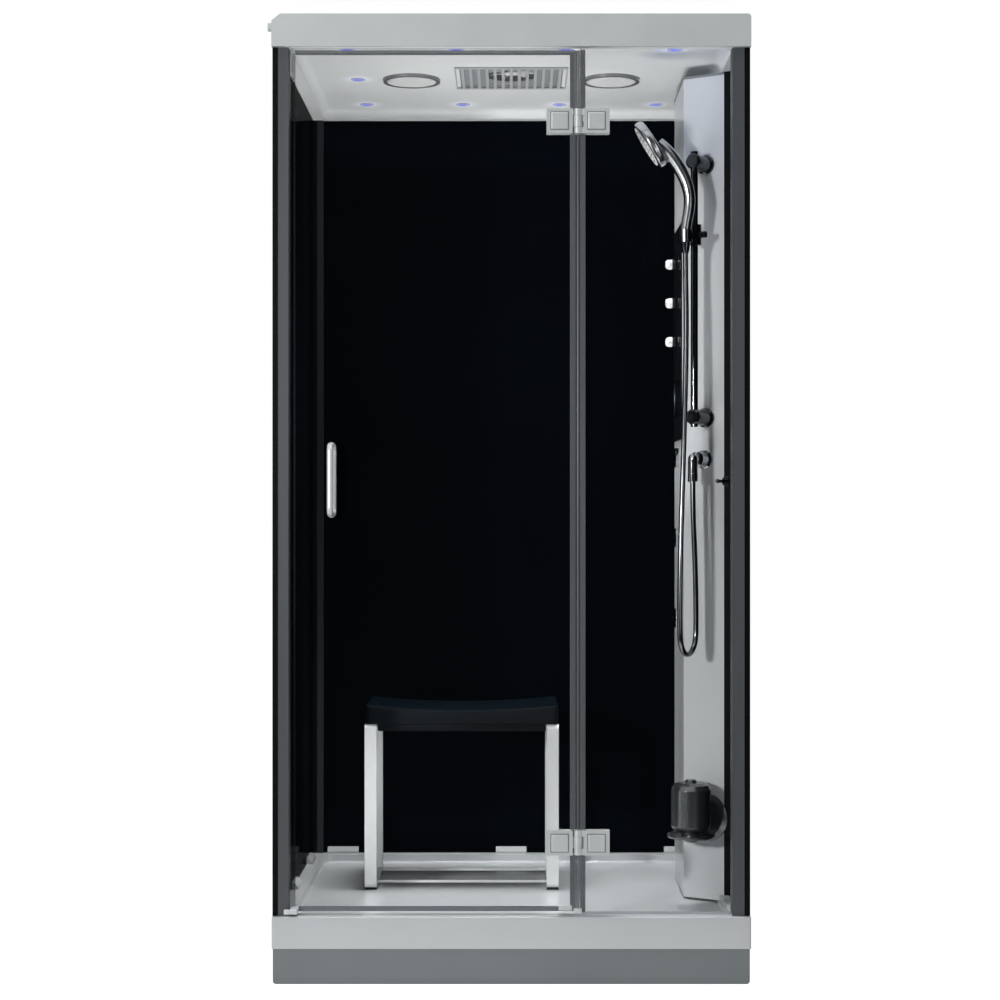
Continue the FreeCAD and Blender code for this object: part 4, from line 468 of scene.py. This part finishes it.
def band(build, first, second):
    """Faces between two rings of vertices."""
    count = len(first)
    return [build.faces.new((first[number], first[(number + 1) % count],
                             second[(number + 1) % count], second[number]))
            for number in range(count)]


def rounded_block(build, low, high, radius, steps=3):
    """Adds a box with rounded edges."""
    edges = edges_of(build, block(build, low, high))
    bmesh.ops.bevel(build, geom=edges, offset=radius, segments=steps, affect="EDGES", profile=0.5)


# ---------------------------------------------------------------- shower hose
HOSE_RADIUS = 0.0065
HOSE_SIDES = 20
HOSE_TILT_START = 1.60
HOSE_LIFT_START = 1.66
HOSE_ROUTE = (
    (0.4381, -0.20867, 1.155),
    (0.4381, -0.20867, 1.085),
    (0.443, -0.2065, 0.985),
    (0.4455, -0.206, 0.890),
    (0.446, -0.2062, 0.820),
    (0.445, -0.2075, 0.769),
    (0.432, -0.231, 0.742),
    (0.414, -0.264, 0.742),
    (0.401, -0.288, 0.769),
    (0.3995, -0.2905, 0.825),
    (0.3998, -0.2908, 0.890),
    (0.4015, -0.2885, 0.980),
    (0.405, -0.2825, 1.090),
    (0.4095, -0.274, 1.210),
    (0.414, -0.2635, 1.330),
    (0.4172, -0.2565, 1.450),
    (0.4184, -0.2525, 1.560),
    (0.41681, -0.24964, 1.640),
    (0.41681, -0.24964, 1.702),
)


def hose_line():
    """The hose's smooth line, as points read from its NURBS spline."""
    line = bpy.data.curves.new("shower_hose_line", "CURVE")
    line.dimensions = "3D"
    line.resolution_u = 12
    spline = line.splines.new("NURBS")
    spline.points.add(len(HOSE_ROUTE) - 1)
    for point, place in zip(spline.points, HOSE_ROUTE):
        point.co = (*place, 1.0)
    spline.order_u = 3
    spline.use_endpoint_u = True
    holder = bpy.data.objects.new("shower_hose_line", line)
    mesh = bpy.data.meshes.new_from_object(holder)
    points = [vertex.co.copy() for vertex in mesh.vertices]
    bpy.data.objects.remove(holder)
    bpy.data.curves.remove(line)
    bpy.data.meshes.remove(mesh)
    return points


def line_frames(points):
    """A side direction at each point, carried along the line without twist."""
    sides = []
    side = Vector((1, 0, 0))
    for index in range(len(points)):
        run = (points[min(index + 1, len(points) - 1)] - points[max(index - 1, 0)]).normalized()
        side = (side - run * side.dot(run)).normalized()
        sides.append((side.copy(), run.cross(side)))
    return sides


def tube_piece(name, points, frames, closed):
    """A stretch of hose; closed says which of its two ends have a cap."""
    build = bmesh.new()
    rings = []
    for point, (side, other) in zip(points, frames):
        ring = []
        for number in range(HOSE_SIDES):
            angle = 2 * math.pi * number / HOSE_SIDES
            ring.append(build.verts.new(
                point + HOSE_RADIUS * (math.cos(angle) * side + math.sin(angle) * other)))
        rings.append(ring)
    for low, high in zip(rings, rings[1:]):
        band(build, low, high)
    for ring, cap in zip((rings[0], rings[-1]), closed):
        if cap:
            build.faces.new(ring)
    bmesh.ops.recalc_face_normals(build, faces=build.faces)
    return piece(name, build, ("hose_chrome_painted_shade",), None, smooth=60)


def shower_hose():
    """The hose in three stretches, cut where the real hose tilts and lifts with the handset: a loop up
    to the slider, a neck and an end.
    """
    points = hose_line()
    frames = line_frames(points)
    last = len(points) - 1
    tilt = next(i for i in range(last, 0, -1) if points[i].z < HOSE_TILT_START)
    lift = next(i for i in range(last, 0, -1) if points[i].z < HOSE_LIFT_START)
    spans = {"hose_loop": (0, tilt), "hose_neck": (tilt, lift), "hose_end": (lift, last)}
    made = {name: tube_piece(name, points[start:end + 1], frames[start:end + 1],
                             (start == 0, end == last))
            for name, (start, end) in spans.items()}
    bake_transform(made["hose_loop"])
    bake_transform(made["hose_neck"])
    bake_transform(made["hose_end"])
    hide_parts("shower_hose")


# ---------------------------------------------------------------- stool seat
SEAT_RIM_DEPTH = 0.019
SEAT_DISH = 0.013
SEAT_STRIPS = 32
SEAT_RIM_INSET = (0.032, 0.010)


def stool_seat():
    """Moulded seat: rounded slab with a dished top, and a deeper rim between the legs."""
    low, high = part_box("stool_seat")
    middle = (low.x + high.x) / 2
    half = (high.x - low.x) / 2
    under = low.z + SEAT_RIM_DEPTH
    build = bmesh.new()
    slab = block(build, (low.x, low.y, under), high)
    corners = edges_of(build, slab, lambda edge: abs(edge.verts[0].co.z - edge.verts[1].co.z) > 0.01)
    bmesh.ops.bevel(build, geom=corners, offset=0.014, segments=5, affect="EDGES", profile=0.5)
    rims = edges_of(build, [vertex for vertex in build.verts if abs(vertex.co.z - high.z) < 1e-6])
    bmesh.ops.bevel(build, geom=rims, offset=0.009, segments=4, affect="EDGES", profile=0.5)
    for number in range(1, SEAT_STRIPS):
        place = low.x + (high.x - low.x) * number / SEAT_STRIPS
        bmesh.ops.bisect_plane(build, geom=build.verts[:] + build.edges[:] + build.faces[:],
                               plane_co=(place, 0, 0), plane_no=(1, 0, 0))
    for vertex in build.verts:
        share = max(0.0, (vertex.co.z - under) / (high.z - under))
        across = (vertex.co.x - middle) / half
        vertex.co.z -= share * SEAT_DISH * (1 - across * across)
    side, front = SEAT_RIM_INSET
    rounded_block(build, (low.x + side, low.y + front, low.z),
                  (high.x - side, high.y - front, under + SEAT_RIM_DEPTH / 4), 0.004)
    seat = piece("seat_shell", build, ("seat",), "stool", smooth=40)
    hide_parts("stool_seat")


# ---------------------------------------------------------------- fine pieces
HINGE_LEVELS = (0.320, 1.984)
HINGE_CAPS = {"door": 0.1115, "cabin": 0.1965}
HINGE_FACES = ((-0.428, -1), (-0.402, 1))
COVER_PROFILE = ((0.0216, -0.0011), (0.0216, -0.0006), (0.0192, -0.0006),
                 (0.0192, 0.0006), (0.0172, 0.0014))
COVER_JOINT_STEPS = 2


def square_ring(build, centre, half, out):
    """Four vertices of a square that faces along Y."""
    x, y, z = centre
    return [build.verts.new((x + half * a, y + out, z + half * b))
            for a, b in ((-1, -1), (1, -1), (1, 1), (-1, 1))]


def hinge_covers():
    """Bevelled square covers over the screws of the hinge plates, with a dark joint round them."""
    for body, across in HINGE_CAPS.items():
        build = bmesh.new()
        for level in HINGE_LEVELS:
            for face, way in HINGE_FACES:
                rings = [square_ring(build, (across, face, level), half, way * out)
                         for half, out in COVER_PROFILE]
                for step, (outer, inner) in enumerate(zip(rings, rings[1:])):
                    for side in band(build, outer, inner):
                        side.material_index = 1 if step < COVER_JOINT_STEPS else 0
                build.faces.new(rings[-1])
        bmesh.ops.recalc_face_normals(build, faces=build.faces)
        piece("hinge_covers_" + body, build, ("satin", "joint_grey"), body)


END_BLOCKS = {
    "bottom_seal_ends": ("door", (((-0.508, -0.4565, 0.161), (-0.490, -0.4095, 0.172)),
                                  ((-0.521, -0.4565, 0.161), (-0.507, -0.4508, 0.172)),
                                  ((0.109, -0.4215, 0.163), (0.140, -0.4085, 0.175)))),
    "panel_seal_foot": ("cabin", (((0.144, -0.4215, 0.1555), (0.163, -0.4085, 0.168)),)),
}
HEADER_SEAL = ((-0.508, -0.4253, 2.1488), (0.137, -0.4237, 2.161))
GASKET_THICKNESS = 0.0012
CORNER_GASKET_INSET = 0.006
CORNER_GASKET_SIDE = -0.5285
CORNER_GASKET_LEVELS = (0.158, 2.148)
COLUMN_TOP = ((0.5395, -0.202), (0.423, -0.128), (0.423, 0.147), (0.5395, 0.221))
COLUMN_GASKET_HEIGHT = 0.006


def seal_ends():
    """Pale end blocks of the door's bottom seal, and the foot of the fixed panel's seal."""
    for name, (body, blocks) in END_BLOCKS.items():
        build = bmesh.new()
        for low, high in blocks:
            rounded_block(build, low, high, 0.0015)
        piece(name, build, ("end_block",), body, smooth=40)


def header_seal():
    """Translucent strip that hangs from the ceiling's front rim down to the top of the door."""
    build = bmesh.new()
    rounded_block(build, *HEADER_SEAL, 0.0004)
    piece("header_seal", build, ("seal",), "cabin", smooth=40)


def corner_gasket():
    """Black gasket between the left wall's glass and the rear corner post."""
    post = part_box("rear_posts")[0]
    foot, top = CORNER_GASKET_LEVELS
    build = bmesh.new()
    rounded_block(build, (post.x + CORNER_GASKET_INSET, post.y - GASKET_THICKNESS, foot),
                  (CORNER_GASKET_SIDE, post.y, top), 0.0004)
    piece("corner_gasket", build, ("channels",), "cabin", smooth=40)


def column_gasket():
    """Grey gasket round the column's top edge, just under the ceiling."""
    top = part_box("column_shell")[1].z
    foot = top - COLUMN_GASKET_HEIGHT
    points = [Vector(point) for point in COLUMN_TOP]
    ways = [Vector((a.y - b.y, b.x - a.x)).normalized() for a, b in zip(points, points[1:])]
    mitres = [ways[0], *[(a + b) / (1 + a.dot(b)) for a, b in zip(ways, ways[1:])], ways[-1]]
    build = bmesh.new()
    rings = []
    for point, mitre in zip(points, mitres):
        outer = point + GASKET_THICKNESS * mitre
        corners = ((point, foot), (outer, foot), (outer, top), (point, top))
        rings.append([build.verts.new((*place, level)) for place, level in corners])
    for low, high in zip(rings, rings[1:]):
        band(build, low, high)
    build.faces.new(rings[0])
    build.faces.new(rings[-1])
    bmesh.ops.recalc_face_normals(build, faces=build.faces)
    piece("column_gasket", build, ("joint_grey",), "cabin")


FACE_MIDDLE = Vector((0.3233, -0.2496, 1.9565))
FACE_LONG = Vector((0.522, 0, -0.853)).normalized()
FACE_OUT = Vector((-0.853, 0, -0.522)).normalized()
FACE_RADII = (0.0514, 0.034)
FACE_ROWS = ((0.0, 1), (0.26, 6), (0.52, 12), (0.8, 20))
NOZZLE_LIFT = 0.0021


def spray_nozzles():
    """Small soft nozzles in rings on the hand shower's spray plate."""
    build = bmesh.new()
    wide = FACE_OUT.cross(FACE_LONG)
    turn = Matrix((wide, FACE_LONG, FACE_OUT)).transposed().to_4x4()
    long_radius, wide_radius = FACE_RADII
    for share, count in FACE_ROWS:
        for number in range(count):
            angle = 2 * math.pi * number / count
            place = (FACE_MIDDLE + long_radius * share * math.cos(angle) * FACE_LONG
                     + wide_radius * share * math.sin(angle) * wide + NOZZLE_LIFT * FACE_OUT)
            bmesh.ops.create_cone(build, cap_ends=True, segments=10, radius1=0.0017, radius2=0.0011,
                                  depth=0.0016, matrix=Matrix.Translation(place) @ turn)
    piece("spray_nozzles", build, ("rubber",), "handset", smooth=40)


PANEL_X = 0.419
WINDOW = ((-0.040, 1.330), (0.090, 1.410))
WINDOW_GAP = 0.0005
WINDOW_RIM = 0.004
BUTTON_LINE = -0.030
BUTTON_LEVELS = (1.516, 1.565, 1.6145, 1.6635, 1.713)
BUTTON_STEPS = ((0.0105, 0.0005), (0.0082, 0.0009))


def panel_controls():
    """A display window and plain round buttons on the column's glass panel."""
    (back, foot), (front, top) = WINDOW
    gap, rim = WINDOW_GAP, WINDOW_RIM
    build = bmesh.new()
    rounded_block(build, (PANEL_X - 0.0012, back, foot), (PANEL_X, front, top), 0.0005)
    piece("panel_display", build, ("display",), "cabin", smooth=40)
    build = bmesh.new()
    bars = (((back - rim, foot - rim), (back - gap, top + rim)),
            ((front + gap, foot - rim), (front + rim, top + rim)),
            ((back - gap, foot - rim), (front + gap, foot - gap)),
            ((back - gap, top + gap), (front + gap, top + rim)))
    for low, high in bars:
        rounded_block(build, (PANEL_X - 0.002, *low), (PANEL_X, *high), 0.0008)
    # display frame in the chrome darkened as painted shade
    piece("display_frame", build, ("dark_chrome_painted_shade",), "cabin", smooth=40)
    build = bmesh.new()
    turn = Matrix.Rotation(-math.pi / 2, 4, "Y")
    for level in BUTTON_LEVELS:
        for radius, depth in BUTTON_STEPS:
            place = Matrix.Translation((PANEL_X - depth / 2, BUTTON_LINE, level))
            bmesh.ops.create_cone(build, cap_ends=True, segments=36, radius1=radius,
                                  radius2=radius - 0.0006, depth=depth, matrix=place @ turn)
    # buttons in the chrome darkened as painted shade
    piece("panel_buttons", build, ("dark_chrome_painted_shade",), "cabin", smooth=40)


# ---------------------------------------------------------------- stage and light
WORLD_LIGHT = 0.12
FLOOR_REACH = 60
FLOOR_GREY = 0.5
FLOOR_GLOW = 0.95
CARD_DISTANCE = 6
CARD_HEIGHT = 5.0
CARD_TURNS = range(-65, 66, 10)
CARPET = ((-1.6, -1.2), (1.6, -1.2), (4.0, -6.0), (-4.0, -6.0))
CARPET_LEVEL = 0.002


def add_lamp(name, place, target, size, power, mirrored=True, color=(1, 1, 1), spread=180):
    """A soft rectangular lamp aimed at a point, in a beam of some degrees."""
    data = bpy.data.lights.new(name, "AREA")
    data.spread = math.radians(spread)
    data.shape = "RECTANGLE"
    data.size, data.size_y = size
    data.energy = power
    data.color = color
    lamp = bpy.data.objects.new(name, data)
    lamp.location = place
    aim = Vector(target) - Vector(place)
    lamp.rotation_euler = aim.to_track_quat("-Z", "Y").to_euler()
    lamp.visible_camera = False
    lamp.visible_glossy = mirrored
    bpy.context.scene.collection.objects.link(lamp)


def add_lamps():
    """Studio light from the front, and the cabin's own light inside it."""
    add_lamp("key", (-2.7, -4.5, 1.7), (0, 0, 1.0), (0.4, 0.4), 170)
    add_lamp("fill", (2.6, -4.4, 1.4), (0, 0, 1.0), (1.6, 2.4), 24)
    add_lamp("top", (0, -1.5, 4.5), (0, -0.2, 0), (3.0, 2.0), 26)
    add_lamp("cabin_down", (0, -0.05, 2.12), (0, -0.05, 0), (0.7, 0.4), 9,
             mirrored=False, spread=70)
    add_lamp("cabin_up", (-0.05, -0.1, 1.0), (-0.05, -0.1, 2.2), (0.8, 0.5), 6.6,
             mirrored=False, spread=110)
    add_lamp("cabin_front", (-0.33, -0.39, 0.40), (-0.33, 0.4, 0.38), (0.3, 0.4), 0.32,
             mirrored=False, spread=60)
    add_lamp("corner_up", (0.36, -0.41, 2.02), (0.47, -0.15, 2.17), (0.05, 0.05), 0.05,
             mirrored=False, spread=120)
    add_lamp("led_tint", (0.33, -0.36, 2.13), (0.46, -0.2, 1.95), (0.05, 0.05), 0.12,
             mirrored=False, color=(0.3, 0.38, 1.0))


def seen_ray(tree):
    """1 for camera, mirror and glass rays, 0 for rays that light the object."""
    path = tree.nodes.new("ShaderNodeLightPath")
    total = path.outputs["Is Camera Ray"]
    for name in ("Is Glossy Ray", "Is Transmission Ray"):
        more = tree.nodes.new("ShaderNodeMath")
        more.operation = "MAXIMUM"
        tree.links.new(total, more.inputs[0])
        tree.links.new(path.outputs[name], more.inputs[1])
        total = more.outputs["Value"]
    return total


def add_world():
    """White where it is seen, dim where it lights."""
    world = bpy.data.worlds.new("studio")
    world.use_nodes = True
    tree = world.node_tree
    background = tree.nodes["Background"]
    background.inputs["Color"].default_value = (1, 1, 1, 1)
    spread = tree.nodes.new("ShaderNodeMapRange")
    spread.inputs["To Min"].default_value = WORLD_LIGHT
    spread.inputs["To Max"].default_value = 1.0
    tree.links.new(seen_ray(tree), spread.inputs["Value"])
    tree.links.new(spread.outputs["Result"], background.inputs["Strength"])
    bpy.context.scene.world = world


def stage_mesh(name, points, faces, material):
    """A stage object from points and faces."""
    mesh = bpy.data.meshes.new(name)
    mesh.from_pydata(points, [], faces)
    mesh.materials.append(material)
    made = bpy.data.objects.new(name, mesh)
    bpy.context.scene.collection.objects.link(made)
    return made


def add_floor():
    """Plain white floor that keeps the cabin's shadow."""
    material = bpy.data.materials.new("floor_white")
    material.use_nodes = True
    tree = material.node_tree
    tree.nodes.clear()
    cover = tree.nodes.new("ShaderNodeBsdfDiffuse")
    cover.inputs["Color"].default_value = (FLOOR_GREY, FLOOR_GREY, FLOOR_GREY, 1)
    glow = tree.nodes.new("ShaderNodeEmission")
    glow.inputs["Color"].default_value = (FLOOR_GLOW, FLOOR_GLOW, FLOOR_GLOW, 1)
    both = tree.nodes.new("ShaderNodeAddShader")
    end = tree.nodes.new("ShaderNodeOutputMaterial")
    tree.links.new(seen_ray(tree), glow.inputs["Strength"])
    tree.links.new(cover.outputs[0], both.inputs[0])
    tree.links.new(glow.outputs[0], both.inputs[1])
    tree.links.new(both.outputs[0], end.inputs["Surface"])
    corners = ((-1, -1), (1, -1), (1, 1), (-1, 1))
    stage_mesh("floor", [(FLOOR_REACH * x, FLOOR_REACH * y, 0) for x, y in corners],
               [(0, 1, 2, 3)], material)


def add_dark_cards():
    """Dark cards in front of the cabin that only its mirrors see, as in a darkened studio."""
    material = bpy.data.materials.new("card_black")
    material.use_nodes = True
    tree = material.node_tree
    dark = tree.nodes.new("ShaderNodeEmission")
    dark.inputs["Color"].default_value = (0.006, 0.007, 0.009, 1)
    tree.links.new(dark.outputs["Emission"], tree.nodes["Material Output"].inputs["Surface"])
    turns = [math.radians(turn) for turn in CARD_TURNS]
    feet = [(CARD_DISTANCE * math.sin(turn), -CARD_DISTANCE * math.cos(turn)) for turn in turns]
    wall = [(x, y, z) for x, y in feet for z in (0.0, CARD_HEIGHT)]
    walls = [(2 * n, 2 * n + 2, 2 * n + 3, 2 * n + 1) for n in range(len(feet) - 1)]
    carpet = [(x, y, CARPET_LEVEL) for x, y in CARPET]
    cards = (stage_mesh("card_wall", wall, walls, material),
             stage_mesh("card_floor", carpet, [(0, 1, 2, 3)], material))
    for card in cards:
        card.visible_camera = False
        card.visible_diffuse = False
        card.visible_shadow = False
        card.visible_transmission = False


add_camera()
shower_hose()
dress_nodes()
stool_seat()
hinge_covers()
seal_ends()
header_seal()
corner_gasket()
column_gasket()
spray_nozzles()
panel_controls()
add_lamps()
add_world()
add_floor()
add_dark_cards()
bpy.context.scene.view_settings.view_transform = "Standard"
